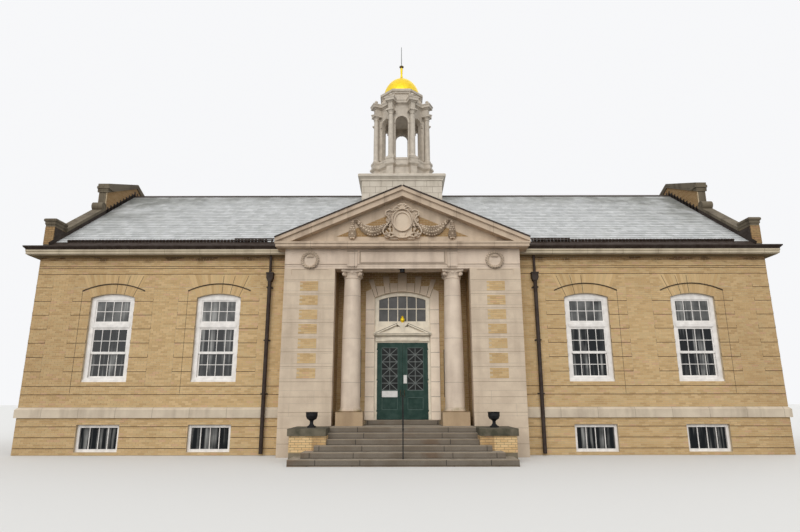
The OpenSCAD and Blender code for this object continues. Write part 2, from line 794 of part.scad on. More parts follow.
// a capital: neck ring, flared bell, a volute under each corner of a hollow-sided abacus
abacus_h = 90;
volute_r = 62;
volute_w = 80;
module volute() {
  rotate([90, 0, 0]) difference() {
    cylinder(r = volute_r, h = volute_w, center = true);
    for (side = [0, 1]) mirror([0, 0, side]) translate([0, 0, volute_w / 2 - 12]) difference() {
      cylinder(r = volute_r - 14, h = 12 + eps);
      translate([0, 0, -eps]) cylinder(r = volute_r - 38, h = 12 + 3 * eps);
    }
  }
}
module column_capitals() {
  bell = capital_h - abacus_h;
  ring = 45;
  flare = 40;
  bite = 45;
  corner = 60;
  half = abacus_w / 2;
  hollow_r = arch_r(half - corner, bite);
  color(stone) place() at_columns() {
    rotate_extrude() polygon(concat([[0, capital_z]], half_round(neck_r, capital_z, ring),
      [[neck_r, capital_z + ring]],
      [for (i = [0:6])
        let (t = i / 6) [neck_r + flare * pow(t, 2), capital_z + ring + (bell - ring) * t]],
      [[0, capital_z + bell]]));
    difference() {
      moulded([[-40, capital_z + bell], [0, capital_z + bell + 30], [0, capital_z + bell + 60],
        [-10, capital_z + bell + 60], [-10, port_h]], half, half);
      for (k = [0:3]) rotate([0, 0, 90 * k]) translate([0, bite - half - hollow_r, capital_z])
        cylinder(r = hollow_r, h = capital_h + eps);
    }
    for (k = [0:3]) rotate([0, 0, 90 * k]) {
      rotate([0, 0, 45]) translate([neck_r + flare + volute_r, 0, capital_z + bell - volute_r])
        volute();
      translate([0, -neck_r - flare, capital_z + bell + 15]) rotate([90, 0, 0])
        cylinder(r = 48, h = 40, center = true);
      for (x = [-75, 0, 75]) translate([x, -neck_r - flare + 30 + abs(x) / 5, capital_z + bell - 45])
        sphere(r = 32);
    }
  }
}

// architrave and frieze over the whole portico, with a raised blank tablet in the middle
tablet_half = 1435;
beam_t = 600;
architrave_h = 170;
wreath_x = 3090;
wreath_r = 305;
wreath_z = port_h + 292;
boss_x = 1675;
module entablature() {
  z0 = port_h + architrave_h;
  z1 = ent_top - 60;
  boss_w = 168;
  boss_z = port_h + 75;
  color(stone) place() {
    difference() {
      block([-port_half, -port_out, port_h], [port_half, beam_t - port_out, ent_top]);
      for (step = [[0, 14], [75, 7]])
        block([-port_half - eps, -port_out - eps, port_h + step[0]],
          [port_half + eps, step[1] - port_out, port_h + step[0] + 75]);
    }
    difference() {
      block([-port_half, -port_out - 22, z0 - 20], [port_half, -port_out, z0]);
      both() translate([wreath_x, -port_out, wreath_z]) rotate([90, 0, 0])
        cylinder(r = wreath_r + eps, h = port_out);
    }
    difference() {
      block([-tablet_half, -port_out - 40, z0], [tablet_half, -port_out, z1]);
      block([45 - tablet_half, -port_out - 41, z0 + 45], [tablet_half - 45, -port_out - 28, z1 - 45]);
    }
    both() translate([boss_x, 0, 0]) {
      difference() {
        block([-boss_w, -port_out - 35, boss_z], [boss_w, 20 - port_out, z1 - 40]);
        block([45 - boss_w, -port_out - 36, boss_z + 60], [boss_w - 45, -port_out - 20, z1 - 85]);
      }
      block([-boss_w - 12, -port_out - 45, z1 - 40], [boss_w + 12, -port_out, z1]);
      for (x = [-120, -40, 40, 120]) translate([x, -port_out - 15, boss_z - 30])
        cylinder(d1 = 40, d2 = 26, h = 31);
    }
    both() block([port_half - side_t, beam_t - port_out, port_h], [port_half, 0, ent_top]);
  }
}

// level cornice of the portico, returning to the hall wall on both sides
port_profile = [[0, port_cornice_z], [port_cornice_out - 80, port_cornice_z],
  [port_cornice_out - 80, port_cornice_z + 25], [port_cornice_out - 30, port_cornice_z + 25],
  [port_cornice_out - 30, port_cornice_z + 110], [port_cornice_out, port_cornice_z + 130],
  [port_cornice_out, gable_foot], [0, gable_foot]];
cornice_back = pier_t - port_out;
module portico_cornice() {
  color(stone) place() difference() {
    translate([0, port_half - port_out, 0]) moulded(port_profile, port_half, port_half);
    block([-2 * port_half, 0, 0], [2 * port_half, 2 * hall_l, ridge_z]);
    block([-port_half + side_t, cornice_back, 0], [port_half - side_t, eps, ridge_z]);
  }
}

// the band from low to high under the pediment's upper face, with upright ends on the level cornice
function rake_foot(t) =
  [pediment_half - max(0, t - rake_end) / pediment_pitch, gable_foot + max(0, rake_end - t)];
function mirrored(point) = [-point[0], point[1]];
function chevron(low, high) =
  let (corner = low < rake_end && high > rake_end ? [[pediment_half, gable_foot]] : [])
  concat(
    [mirrored(rake_foot(high)), [0, pediment_z(0) - high], rake_foot(high)], corner,
    [rake_foot(low), [0, pediment_z(0) - low], mirrored(rake_foot(low))],
    [for (point = corner) mirrored(point)]);

// raking cornice: a bold crown moulding over a fillet and a tall fascia
raking_bands = [[0, rake_end, 0], [rake_end, rake_end + 20, 50], [rake_end + 20, raking_t, 70]];
module raking_cornice() {
  color(stone) place() for (band = raking_bands)
    along_y(chevron(band[0], band[1]), -port_out - port_cornice_out + band[2], cornice_back);
}

// the tympanum: a stone slab with a sunk field for the brickwork
module tympanum() {
  color(stone) place() difference() {
    along_y(pediment(0, 0), tympanum_in - port_out, cornice_back);
    along_y(pediment(infill_lift, infill_drop), tympanum_in - port_out - eps,
      tympanum_in - port_out + panel_t);
  }
}

// carved shield round a blank oval, with a scroll at each foot, side, shoulder and at the top
carve_y = tympanum_in - port_out;
shield_z = gable_foot + 770;
shield_outline = [[415, -625], [330, -400], [330, -190], [415, -40], [440, 160], [400, 350], [240, 400],
  [190, 560]];
shield_scrolls = [[508, -473, 100], [470, 60, 85], [455, 290, 82], [155, 490, 88]];
function oval(w, h) = [for (i = [0:31]) [w * cos(11.25 * i), h * sin(11.25 * i)]];
module scroll(r, h) {
  difference() {
    cylinder(r = r, h = h);
    translate([0, 0, h - 25]) difference() {
      cylinder(r = r * 0.8, h = 26);
      cylinder(r = r * 0.42, h = 27);
    }
  }
}
module cartouche() {
  color(stone) place() translate([0, carve_y, shield_z]) rotate([90, 0, 0]) {
    linear_extrude(75) polygon(doubled(shield_outline, 0));
    both() for (s = shield_scrolls) translate([s[0], s[1], 0]) scroll(s[2], 115);
    linear_extrude(105) polygon(oval(300, 355));
    linear_extrude(150) difference() {
      polygon(oval(300, 355));
      polygon(oval(250, 305));
    }
    linear_extrude(130) polygon([[-90, 430], [90, 430], [60, 560], [-60, 560]]);
    linear_extrude(125) polygon([[-70, -560], [0, -600], [70, -560], [120, -400], [-120, -400]]);
  }
}

// a hanging garland on each side of the shield, fullest in its middle, with a loop and an end drop
garland_x = 995;
garland_half = 475;
module bud(x, z, r, h) {
  translate([x, carve_y, z]) rotate([90, 0, 0]) {
    cylinder(r = r, h = h * 0.6);
    translate([0, 0, h * 0.6]) cylinder(r1 = r, r2 = r * 0.55, h = h * 0.4);
  }
}
module garlands() {
  n = 11;
  low_z = gable_foot + 440;
  color(stone) place() both() {
    for (i = [0:n - 1])
      let (t = 2 * i / (n - 1) - 1)
      bud(garland_x + garland_half * t, low_z + (250 + 30 * t) * t * t, 70 + 105 * (1 - t * t),
        90 + 40 * (1 - t * t) + 12 * (i % 2));
    bud(garland_x + garland_half + 60, low_z + 350, 72, 85);
    for (drop = [[345, 45], [265, 58], [170, 76], [70, 100], [-45, 128], [-130, 142]])
      bud(garland_x + garland_half + 224, low_z + drop[0], drop[1], 80 + drop[1] / 3);
  }
}

// a laurel wreath round a plain disc over each pier
module wreath_roundels() {
  color(stone) place() both() translate([wreath_x, -port_out, wreath_z]) rotate([90, 0, 0]) {
    cylinder(r = wreath_r - 90, h = 20);
    rotate_extrude() polygon([[wreath_r - 90, 0], [wreath_r, 0], [wreath_r, 30], [wreath_r - 20, 55],
      [wreath_r - 70, 55], [wreath_r - 90, 30]]);
  }
}

// the portico's roof runs back until it meets the main slope
module portico_roof() {
  color(slate) place() difference() {
    along_y(chevron(0, port_roof_t), cornice_back, mid_y);
    along_x([[0, 0], [0, roof_z(0)], [mid_y, ridge_z], [hall_d, ridge_z], [hall_d, 0]],
      -hall_l, hall_l);
  }
}

module porch_ceiling() {
  color(cream) place() block([-open_half - side_t, beam_t - port_out, ceiling_z],
    [open_half + side_t, porch_in + porch_t, ceiling_z + ceiling_t]);
}

// stone doorway: jambs, springers, and a flat arch of long and short stones with a tall keystone;
// its joints lean more the further they lie from the middle
arch_curve = arch_r(doorway_half, arch_rise);
arch_joints = [0.16, 0.44, 0.63, 0.88, 1];
arch_tops = [0, -340, -100, -450, -220];
arch_proud = [40, -12, 0, -12, 0];
function joint_foot(k) =
  let (x = doorway_half * arch_joints[k])
  [x, arch_spring + arch_rise - arch_curve + sqrt(arch_curve * arch_curve - x * x)];
function joint_at(k, z) =
  let (foot = joint_foot(k), lean = arch_lean * arch_joints[k] * arch_joints[k])
  [foot[0] + (z - foot[1]) * tan(lean), z];
module doorway_stone() {
  outer = doorway_half + jamb_w;
  y0 = porch_in - jamb_out;
  key_top = arch_spring + key_rise;
  color(stone) place() {
    both() {
      block([doorway_half, y0, threshold_z], [outer, porch_in, arch_spring]);
      along_y([[doorway_half, arch_spring], [outer, arch_spring], [outer, arch_spring + arch_rise],
        joint_at(4, arch_spring + arch_rise + 100)], y0, porch_in);
      block([doorway_half + 40, y0 - 8, threshold_z], [outer - 40, y0, threshold_z + 240]);
      for (k = [1:4]) along_y([joint_foot(k - 1), joint_foot(k), joint_at(k, key_top + arch_tops[k]),
        joint_at(k - 1, key_top + arch_tops[k])], y0 - arch_proud[k], porch_in);
    }
    along_y([mirrored(joint_foot(0)), joint_foot(0), joint_at(0, key_top),
      mirrored(joint_at(0, key_top))], y0 - arch_proud[0], porch_in);
  }
}

// butt hinges: the frame's knuckle carries the leaf's knuckle just above it
hinge_r = 12;
hinge_h = 60;
hinge_gap = 0.3;
hinge_zs = [250, 1285, 2320];
hinge_x = doors_w / 2 - leaf_gap / 2;
module knuckle(side, low) {
  translate([hinge_x, frame_y - hinge_r - 2, door_z]) for (z = hinge_zs) translate([0, 0, z + low]) {
    cylinder(r = hinge_r, h = hinge_h);
    block([min(0, side * 30), 0, 0], [max(0, side * 30), hinge_r + 2, hinge_h]);
  }
}

// cream wooden frame that closes the doorway round the doors and the transom light
frame_y = porch_in + 60;
frame_t = 140;
doors_half = doors_w / 2;
door_top = door_z + door_h;
light_side = 150;
light_bar = 30;
light_w = doorway_w - 2 * light_side;
fanlight = arched(light_w, light_z, arch_spring - 70, arch_rise - 70);
module door_frame() {
  color(cream) place() both() knuckle(1, -hinge_h - hinge_gap);
  color(cream) place() difference() {
    along_y(arched(doorway_w, threshold_z, arch_spring, arch_rise), frame_y, frame_y + frame_t);
    block([-doors_half, frame_y - eps, threshold_z - eps],
      [doors_half, frame_y + frame_t + eps, door_top + leaf_gap]);
    along_y(fanlight, frame_y - eps, frame_y + frame_t + eps);
  }
  color(cream) place() intersection() {
    along_y(fanlight, frame_y + frame_t / 2 - 40, frame_y + frame_t / 2);
    union() {
      for (x = [-1.5:1:1.5]) translate([x * light_w / 5, 0, 0])
        block([-light_bar / 2, frame_y, light_z], [light_bar / 2, frame_y + frame_t, port_h]);
      block([-light_w / 2, frame_y, light_z + 430],
        [light_w / 2, frame_y + frame_t, light_z + 430 + light_bar]);
    }
  }
}

// hood over the doors: a frieze with a blank tablet, a cornice that stands out past the stone jambs,
// a pediment broken in its middle, and a flared pedestal
hood_z = door_top + 50;
hood_out = 180;
hood_inner = doorway_half - 5;
hood_top = hood_z + frieze_h + 90;
module door_hood() {
  z0 = hood_z + frieze_h;
  y0 = frame_y - hood_out;
  y1 = porch_in - jamb_out;
  rake_h = 100;
  gap = 200;
  end = 10;
  slope = 0.4375;
  rise = slope * (hood_half - gap);
  low = hood_half - (rake_h - end) / slope;
  rake = [[low, hood_top], [hood_half, hood_top], [hood_half, hood_top + end],
    [gap, hood_top + end + rise], [gap, hood_top + end + rise - rake_h]];
  color(cream) place() {
    block([30 - hood_inner, frame_y - 60, hood_z], [hood_inner - 30, frame_y, z0]);
    block([-580, frame_y - 85, hood_z + 40], [580, frame_y - 60, z0 - 20]);
    block([-hood_inner, y1, z0], [hood_inner, frame_y, hood_top]);
    block([-hood_half, y0, z0 + 25], [hood_half, y1, hood_top]);
    block([25 - hood_half, y0 + 25, z0], [hood_half - 25, y1, z0 + 25]);
    both() {
      along_y(rake, y0, y1);
      intersection() {
        along_y(rake, y1, frame_y);
        block([0, y1, hood_top], [hood_inner, frame_y, hood_top + 2 * rise]);
      }
    }
    along_y([[-low, hood_top], [low, hood_top], [gap, hood_top + end + rise - rake_h],
      [gap, hood_top + 210], [-gap, hood_top + 210], [-gap, hood_top + end + rise - rake_h]],
      y1, frame_y);
    along_y([[-80, hood_top], [80, hood_top], [80, hood_top + 210], [190, hood_top + 310],
      [190, pine_z], [-190, pine_z], [-190, hood_top + 310], [-80, hood_top + 210]],
      y0 + 20, frame_y);
  }
}
pine_z = hood_top + 360;
module hood_pineapple() {
  color(gold) place() translate([0, frame_y - hood_out + 60, pine_z]) rotate_extrude()
    polygon([[0, 0], [45, 0], [45, 15], [28, 28], [pine_r - 14, 50], [pine_r, 95],
      [pine_r - 8, 130], [pine_r - 30, 165], [28, 185], [45, 215], [30, 230], [0, 230]]);
}
module transom_glass() {
  color("lightblue", 0.4) place() along_y(fanlight, frame_y + frame_t / 2,
    frame_y + frame_t / 2 + glass_t);
}

// a door leaf: stiles and rails round the glass, over a raised lower panel
leaf_y = frame_y;
leaf_w = doors_half - 1.5 * leaf_gap;
module leaf() {
  x0 = doors_half - leaf_gap - leaf_w;
  translate([x0, leaf_y, door_z]) {
    difference() {
      block([0, 0, 0], [leaf_w, leaf_t, door_h]);
      block([stile_w, -eps, glass_low], [leaf_w - stile_w, leaf_t + eps, glass_high]);
      block([stile_w, -eps, 310], [leaf_w - stile_w, 18, 730]);
    }
    block([stile_w + 55, 4, 365], [leaf_w - stile_w - 55, 18, 675]);
  }
  knuckle(-1, 0);
}
module leaf_glass() {
  x0 = doors_half - leaf_gap - leaf_w;
  translate([x0, leaf_y + leaf_t / 2, door_z])
    block([stile_w, 0, glass_low], [leaf_w - stile_w, glass_t, glass_high]);
}
module leaf_handle() {
  x0 = doors_half - leaf_gap - leaf_w;
  translate([x0 + 60, leaf_y, door_z + handle_z]) {
    for (z = [-90, 90]) translate([0, 0, z]) rotate([90, 0, 0]) cylinder(d = 16, h = 45);
    translate([0, -45, -115]) cylinder(d = 22, h = 230);
  }
}
module door_leaf_left() { color(green) place() mirror([1, 0, 0]) leaf(); }
module door_leaf_right() { color(green) place() leaf(); }
module door_glass_left() { color("lightblue", 0.4) place() mirror([1, 0, 0]) leaf_glass(); }
module door_glass_right() { color("lightblue", 0.4) place() leaf_glass(); }
module door_handle_left() { color(gold) place() mirror([1, 0, 0]) leaf_handle(); }
module door_handle_right() { color(gold) place() leaf_handle(); }

// granite steps: each slab lies on the one below; the lower three are wider than the cheeks' gap
cheek_y = -port_out - cheek_l;
function step_half_w(k) = step_half + step_spread * max(0, 3 - k);
joint = 0.5;
sill_half = 1200;
sill_d = 400;
module steps() {
  color(granite) place() {
    for (k = [0:riser_n - 1]) {
      z0 = k == 0 ? 0 : first_riser + (k - 1) * riser_h + joint;
      z1 = first_riser + k * riser_h;
      y0 = -step_front + k * tread_d;
      if (y0 < cheek_y) block([-step_half_w(k), y0, z0], [step_half_w(k), cheek_y, z1]);
      block([-step_half, max(y0, cheek_y), z0], [step_half, porch_in, z1]);
    }
    block([-sill_half, porch_in - sill_d, porch_z + joint], [sill_half, porch_in, threshold_z]);
    block([-doorway_half, porch_in - eps, porch_z + joint],
      [doorway_half, porch_in + porch_t, threshold_z]);
  }
}

// brick cheek block on a stone foot, with a stone cap
cheek_foot = 270;
cheek_cap = 200;
cheek_lip = 50;
module cheek_blocks() {
  color(brick) place() both() translate([step_half + cheek_w / 2, -port_out - cheek_l / 2, 0]) {
    hx = cheek_w / 2;
    hy = cheek_l / 2;
    block([-hx, -hy, 0], [hx, hy, cheek_foot]);
    block([-hx, -hy, cheek_foot], [hx, hy, cheek_h - cheek_cap]);
    block([-hx, -hy - cheek_lip, cheek_h - cheek_cap], [hx + cheek_lip, hy, cheek_h]);
  }
}

// cast urn: a broad foot, a thin stem and a wide open bowl with a rolled rim
urn_outline = [[0, 0], [0.3, 0], [0.3, 0.09], [0.2, 0.13], [0.12, 0.24], [0.11, 0.38], [0.15, 0.46],
  [0.32, 0.56], [0.385, 0.74], [0.39, 0.94], [0.42, 1], [0.36, 1], [0.33, 0.76], [0.26, 0.6], [0, 0.56]];
module urns() {
  color("black") place() both()
    translate([step_half + cheek_w / 2, -port_out - cheek_l * 0.55, cheek_h])
      rotate_extrude() polygon(urn_outline * urn_h);
}

// iron handrail up the middle of the steps: two square posts under a rail with scrolled ends
bar = 32;
module handrail() {
  y0 = tread_d / 2 - step_front;
  y1 = tread_d / 2 - top_nosing;
  fall = (porch_z - first_riser) / (y1 - y0);
  function rail_z(y) = first_riser + hand_h + fall * (y - y0);
  ya = y0 - 80;
  yb = y1 + 80;
  half = hand_d / 2;
  curl = 60;
  color("black") place() {
    for (y = [y0, y1]) block([-bar / 2, y - bar / 2, rail_z(y) - hand_h],
      [bar / 2, y + bar / 2, rail_z(y)]);
    along_x([[ya, rail_z(ya) - half], [yb, rail_z(yb) - half], [yb, rail_z(yb) + half],
      [ya, rail_z(ya) + half]], -half, half);
    for (y = [ya, yb]) translate([-half, y, rail_z(y) + half - curl]) rotate([0, 90, 0])
      difference() {
        cylinder(r = curl, h = hand_d);
        translate([0, 0, -eps]) cylinder(r = curl / 2, h = hand_d + 2 * eps);
      }
  }
}

// square base of the cupola, saddled over the ridge, under a moulded cap
tower_half = tower_w / 2;
shell = 150;
module cupola_base() {
  z0 = tower_z - tower_cap_h;
  color(paint) place() translate([0, mid_y, 0]) difference() {
    union() {
      block([-tower_half, -tower_half, roof_z(mid_y - tower_half)], [tower_half, tower_half, z0]);
      moulded([[0, z0], [40, z0], [40, z0 + 60], [90, z0 + 120], [tower_cap_out, z0 + 160],
        [tower_cap_out, tower_z - 40], [tower_cap_out - 30, tower_z]], tower_half, tower_half);
    }
    along_x([[-mid_y, 0], [mid_y, 0], [mid_y, roof_z(hall_d)], [0, ridge_z], [-mid_y, roof_z(0)]],
      -hall_l, hall_l);
    block([shell - tower_half, shell - tower_half, 0], [tower_half - shell, tower_half - shell, z0]);
  }
}

// the belfry's columns stand clear of the wall's corners, at this distance from the axis
turn = turn_d / 2;
turn_flare = 55;
turn_at = belfry_r / cos(22.5) + turn + turn_flare + 8;
// an eight-sided ring of one moulding that breaks forward under or over every column
module broken_octagon(points, r, depth, half) {
  moulded_octagon(points, r);
  for (k = [0:7]) rotate([0, 0, 22.5 + 45 * k]) translate([turn_at + turn - depth, 0, 0])
    moulded(points, depth, half);
}

// eight-sided pedestal and plinth under the belfry, hollow inside the pedestal
pier_half = turn + 20;
module cupola_pedestal() {
  z1 = tower_z + ring_h;
  color(paint) place() translate([0, mid_y, 0]) {
    difference() {
      broken_octagon([[50, tower_z], [50, tower_z + 90], [10, tower_z + 130], [10, z1 - 170],
        [40, z1 - 130], [80, z1 - 90], [95, z1 - 60], [95, z1]], ring_r - 110, 200, pier_half);
      moulded_octagon([[0, tower_z - eps], [0, z1]], ring_r - 110 - shell);
    }
    broken_octagon([[40, z1], [40, z1 + 150], [60, z1 + 190], [60, sill_z]], ring_r - 110, 200,
      pier_half);
  }
}

// eight-sided wall with an arch, two imposts and a moulded arch ring in every side, and a fin at
// each corner that closes the gap to the column
module belfry_arcade() {
  half = belfry_arch / 2;
  ring = 75;
  spring = sill_z + belfry_spring;
  color(paint) place() translate([0, mid_y, 0]) {
    difference() {
      moulded_octagon([[0, sill_z], [0, belfry_top]], belfry_r);
      moulded_octagon([[0, sill_z - eps], [0, belfry_top + eps]], belfry_r - belfry_t);
      for (k = [0:3]) rotate([0, 0, 45 * k]) {
        block([-half, -2 * belfry_r, sill_z + 70], [half, 2 * belfry_r, spring]);
        translate([0, 0, spring]) rotate([90, 0, 0])
          cylinder(d = belfry_arch, h = 4 * belfry_r, center = true);
      }
    }
    for (k = [0:7]) rotate([0, 0, 45 * k]) {
      translate([0, 0, spring]) along_y(concat(
        [for (i = [0:12]) [(half + ring) * cos(15 * i), (half + ring) * sin(15 * i)]],
        [for (i = [12:-1:0]) [half * cos(15 * i), half * sin(15 * i)]]), -belfry_r - 25, -belfry_r);
      for (side = [0, 1]) mirror([side, 0, 0])
        block([half, -belfry_r - 40, spring - 70], [half + ring + 15, -belfry_r, spring]);
      block([-30, -belfry_r - 45, spring + half - 5], [30, -belfry_r, spring + half + ring + 20]);
      rotate([0, 0, 22.5]) block([-70, -turn_at + turn + 3, sill_z + 135],
        [70, 30 - belfry_r / cos(22.5), belfry_top - 245]);
    }
  }
}

// a turned column with a square abacus at each corner of the belfry
module belfry_columns() {
  foot = turn + 35;
  neck = turn - 18;
  side = turn + turn_flare;
  color(paint) place() translate([0, mid_y, 0]) for (k = [0:7])
    rotate([0, 0, 22.5 + 45 * k]) translate([turn_at, 0, sill_z]) {
      rotate_extrude() polygon([[0, 0], [foot, 0], [foot, 60], [turn + 15, 90], [turn, 130],
        [turn - 3, belfry_h / 2], [neck, belfry_h - 240], [turn + 5, belfry_h - 225],
        [neck + 3, belfry_h - 210], [neck + 8, belfry_h - 150], [turn + 30, belfry_h - 60],
        [0, belfry_h - 60]]);
      block([-side, -side, belfry_h - 60], [side, side, belfry_h]);
    }
}

// belfry ceiling, a plain frieze and cornice broken forward over the columns, the attic with its
// cap, and a ball and a console at each corner
module cupola_entablature() {
  z0 = belfry_top;
  z1 = attic_z;
  frieze_z = z1 - 250;
  seat = 5;
  ball_r = 78;
  attic_inner = attic_r - 20;
  console = [[0, 0], [170, 0], [180, 60], [140, 150], [80, 210], [60, 300], [85, 350], [80, 400],
    [0, 410]];
  color(paint) place() translate([0, mid_y, 0]) {
    difference() {
      broken_octagon([[-30, z0], [-30, frieze_z], [0, frieze_z + 20], [20, frieze_z + 60],
        [85, frieze_z + 75], [85, frieze_z + 165], [110, frieze_z + 210], [110, z1]],
        belfry_r + 30, 200, pier_half - 15);
      moulded_octagon([[0, z0 + shell], [0, z1 + eps]], belfry_r - shell);
    }
    difference() {
      moulded_octagon([[0, z1 - seat], [0, dome_z - 225], [60, dome_z - 190], [75, dome_z - 140],
        [120, dome_z - 110], [120, dome_z]], attic_inner);
      moulded_octagon([[0, z1 - 2 * seat], [0, dome_z - shell]], attic_r - shell);
    }
    for (k = [0:7]) rotate([0, 0, 22.5 + 45 * k]) {
      translate([turn_at + 20, 0, z1 - seat]) {
        cylinder(d = 95, h = 125);
        translate([0, 0, 180]) sphere(r = ball_r);
      }
      translate([attic_r / cos(22.5) - 60, 0, z1 - seat]) along_y(console, -55, 55);
    }
  }
}

// gilded dome: a shell that is nearly a half ball and sweeps up to the finial
function dome_point(t, shrink) = [
  (dome_r - shrink) * cos(90 * t) + 45 * pow(t, 6),
  (dome_h - shrink) * (0.93 * sin(90 * t) + 0.07 * pow(t, 5))];
module dome() {
  n = 18;
  color(gold) place() translate([0, mid_y, dome_z]) rotate_extrude() polygon(concat(
    [for (i = [0:n]) dome_point(i / n, 0)],
    [for (i = [n:-1:0]) dome_point(i / n, dome_t)]));
}

module finial() {
  z = dome_z + dome_h;
  color(gold) place() translate([0, mid_y, z - dome_t]) rotate_extrude() polygon([[0, 0], [40, 0],
    [40, dome_t], [80, dome_t], [80, 110], [60, 135], [45, 300], [60, 680], [105, 715], [105, 750],
    [40, 775], [22, 810], [16, finial_h], [0, finial_h + dome_t]]);
}

front_wall_left();
front_wall_right();
back_wall();
gable_wall_left();
gable_wall_right();
water_table();
eaves_cornice();
gutters_and_downspouts();
roof_front();
roof_back();
ridge_and_snow_rails();
gable_copings();
gable_pedestals();
window_frames();
window_glass();
hall_floor();
portico_piers();
brick_inlays();
porch_side_walls();
porch_wall_beside();
porch_wall_over();
column_bases();
column_shafts();
column_capitals();
entablature();
portico_cornice();
raking_cornice();
tympanum();
cartouche();
garlands();
wreath_roundels();
portico_roof();
porch_ceiling();
doorway_stone();
door_frame();
door_hood();
hood_pineapple();
transom_glass();
door_leaf_left();
door_leaf_right();
door_glass_left();
door_glass_right();
door_handle_left();
door_handle_right();
steps();
cheek_blocks();
urns();
handrail();
cupola_base();
cupola_pedestal();
belfry_arcade();
belfry_columns();
cupola_entablature();
dome();
finial();
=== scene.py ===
import math

import bpy
from mathutils import Matrix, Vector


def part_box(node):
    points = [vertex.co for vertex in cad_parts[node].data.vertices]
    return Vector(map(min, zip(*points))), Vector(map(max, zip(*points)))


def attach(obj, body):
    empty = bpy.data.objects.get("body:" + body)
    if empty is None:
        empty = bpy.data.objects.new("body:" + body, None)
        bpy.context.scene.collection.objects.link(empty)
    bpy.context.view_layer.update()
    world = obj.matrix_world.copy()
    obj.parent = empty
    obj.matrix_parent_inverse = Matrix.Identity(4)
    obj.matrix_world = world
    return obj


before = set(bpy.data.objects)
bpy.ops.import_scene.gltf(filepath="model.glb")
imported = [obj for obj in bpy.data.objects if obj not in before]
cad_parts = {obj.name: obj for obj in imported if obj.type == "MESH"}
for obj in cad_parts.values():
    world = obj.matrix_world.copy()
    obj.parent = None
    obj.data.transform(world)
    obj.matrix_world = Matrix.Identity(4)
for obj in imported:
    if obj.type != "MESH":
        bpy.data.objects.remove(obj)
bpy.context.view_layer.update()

# Town hall of buff brick with a limestone portico, slate roofs and a painted wooden belfry.
# Metres, Z up. The front faces -Y, and the middle of the ground plan is the origin.

# VIEW, LIGHT AND FLOOR
# A camera at the height of a person's eyes in front of the steps, tilted up to take in the belfry.
# The light is that of an overcast sky, with a little more of it from the front.
bpy.ops.object.select_all(action="DESELECT")
bpy.ops.object.camera_add()
camera = bpy.context.object
camera.location = (-0.05, -22.9575, 1.72)
camera.rotation_euler = [math.radians(angle) for angle in (103.48, 0.08, 0.11)]
camera.data.lens = 25.2
camera.data.sensor_width = 36
bpy.context.scene.camera = camera
bpy.context.scene.view_settings.view_transform = "Standard"

for name, turn, strength in (("front_light", (67, 0, -10), 1.75), ("back_light", (60, 0, 160), 0.5)):
    bpy.ops.object.light_add(type="SUN", rotation=[math.radians(a) for a in turn])
    lamp = bpy.context.object
    lamp.name = name
    lamp.data.energy = strength
    lamp.data.angle = math.radians(60)
    lamp.data.color = (1.0, 0.985, 0.955)


def add_node(kind, *values):
    """A new node in the tree that the values come from."""
    tree = next(value.id_data for value in values if isinstance(value, bpy.types.NodeSocket))
    return tree.nodes.new("ShaderNode" + kind)


def feed(socket, value):
    if isinstance(value, tuple):
        socket.default_value = (*value, 1)
    elif isinstance(value, (int, float)):
        socket.default_value = value
    else:
        socket.id_data.links.new(socket, value)


def arithmetic(operation):
    """A kind of sum on values in a material, held between 0 and 1 where clamp says so."""
    def calculate(first, second=0.0, clamp=False):
        made = add_node("Math", first, second)
        made.operation = operation
        made.use_clamp = clamp
        feed(made.inputs[0], first)
        feed(made.inputs[1], second)
        return made.outputs[0]
    return calculate


plus, minus = arithmetic("ADD"), arithmetic("SUBTRACT")
times, divided = arithmetic("MULTIPLY"), arithmetic("DIVIDE")
larger, unsigned, root = arithmetic("MAXIMUM"), arithmetic("ABSOLUTE"), arithmetic("SQRT")
whole, fraction = arithmetic("FLOOR"), arithmetic("FRACT")
# 1 where the first value is over the second, or under it, and 0 elsewhere
above, below = arithmetic("GREATER_THAN"), arithmetic("LESS_THAN")


def axes(place):
    """The X, Y and Z of a place or a direction."""
    parts = add_node("SeparateXYZ", place)
    feed(parts.inputs[0], place)
    return tuple(parts.outputs)


def ramp(value, low, high):
    """Turns a value between low and high into one between 0 and 1, held at both."""
    made = add_node("MapRange", value)
    for key, number in (("Value", value), ("From Min", low), ("From Max", high)):
        feed(made.inputs[key], number)
    return made.outputs["Result"]


def clouds(where, scale, detail=3.0, low=0.35, high=0.65, stretch=None):
    """Cloudy patches from 0 to 1, so many to a metre, drawn out along an axis where stretch says so."""
    if stretch:
        drawn = add_node("Mapping", where)
        drawn.inputs["Scale"].default_value = stretch
        feed(drawn.inputs["Vector"], where)
        where = drawn.outputs["Vector"]
    made = add_node("TexNoise", where)
    for key, value in (("Vector", where), ("Scale", scale), ("Detail", detail)):
        feed(made.inputs[key], value)
    return ramp(made.outputs["Fac"], low, high)


def blend(share, first, second, how="MIX"):
    made = add_node("Mix", share, first, second)
    made.data_type = "RGBA"
    made.blend_type = how
    for number, value in ((0, share), (6, first), (7, second)):
        feed(made.inputs[number], value)
    return made.outputs[2]


def stained(face, share, colour):
    """The face with that share of a colour washed over it, which darkens it."""
    return blend(share, face, colour, "MULTIPLY")


def set_colour(shader, colour):
    feed(shader.inputs["Base Color"], colour)


def raise_bumps(shader, height, depth):
    bump = add_node("Bump", height)
    for key, value in (("Strength", 1.0), ("Distance", depth), ("Height", height)):
        feed(bump.inputs[key], value)
    feed(shader.inputs["Normal"], bump.outputs["Normal"])


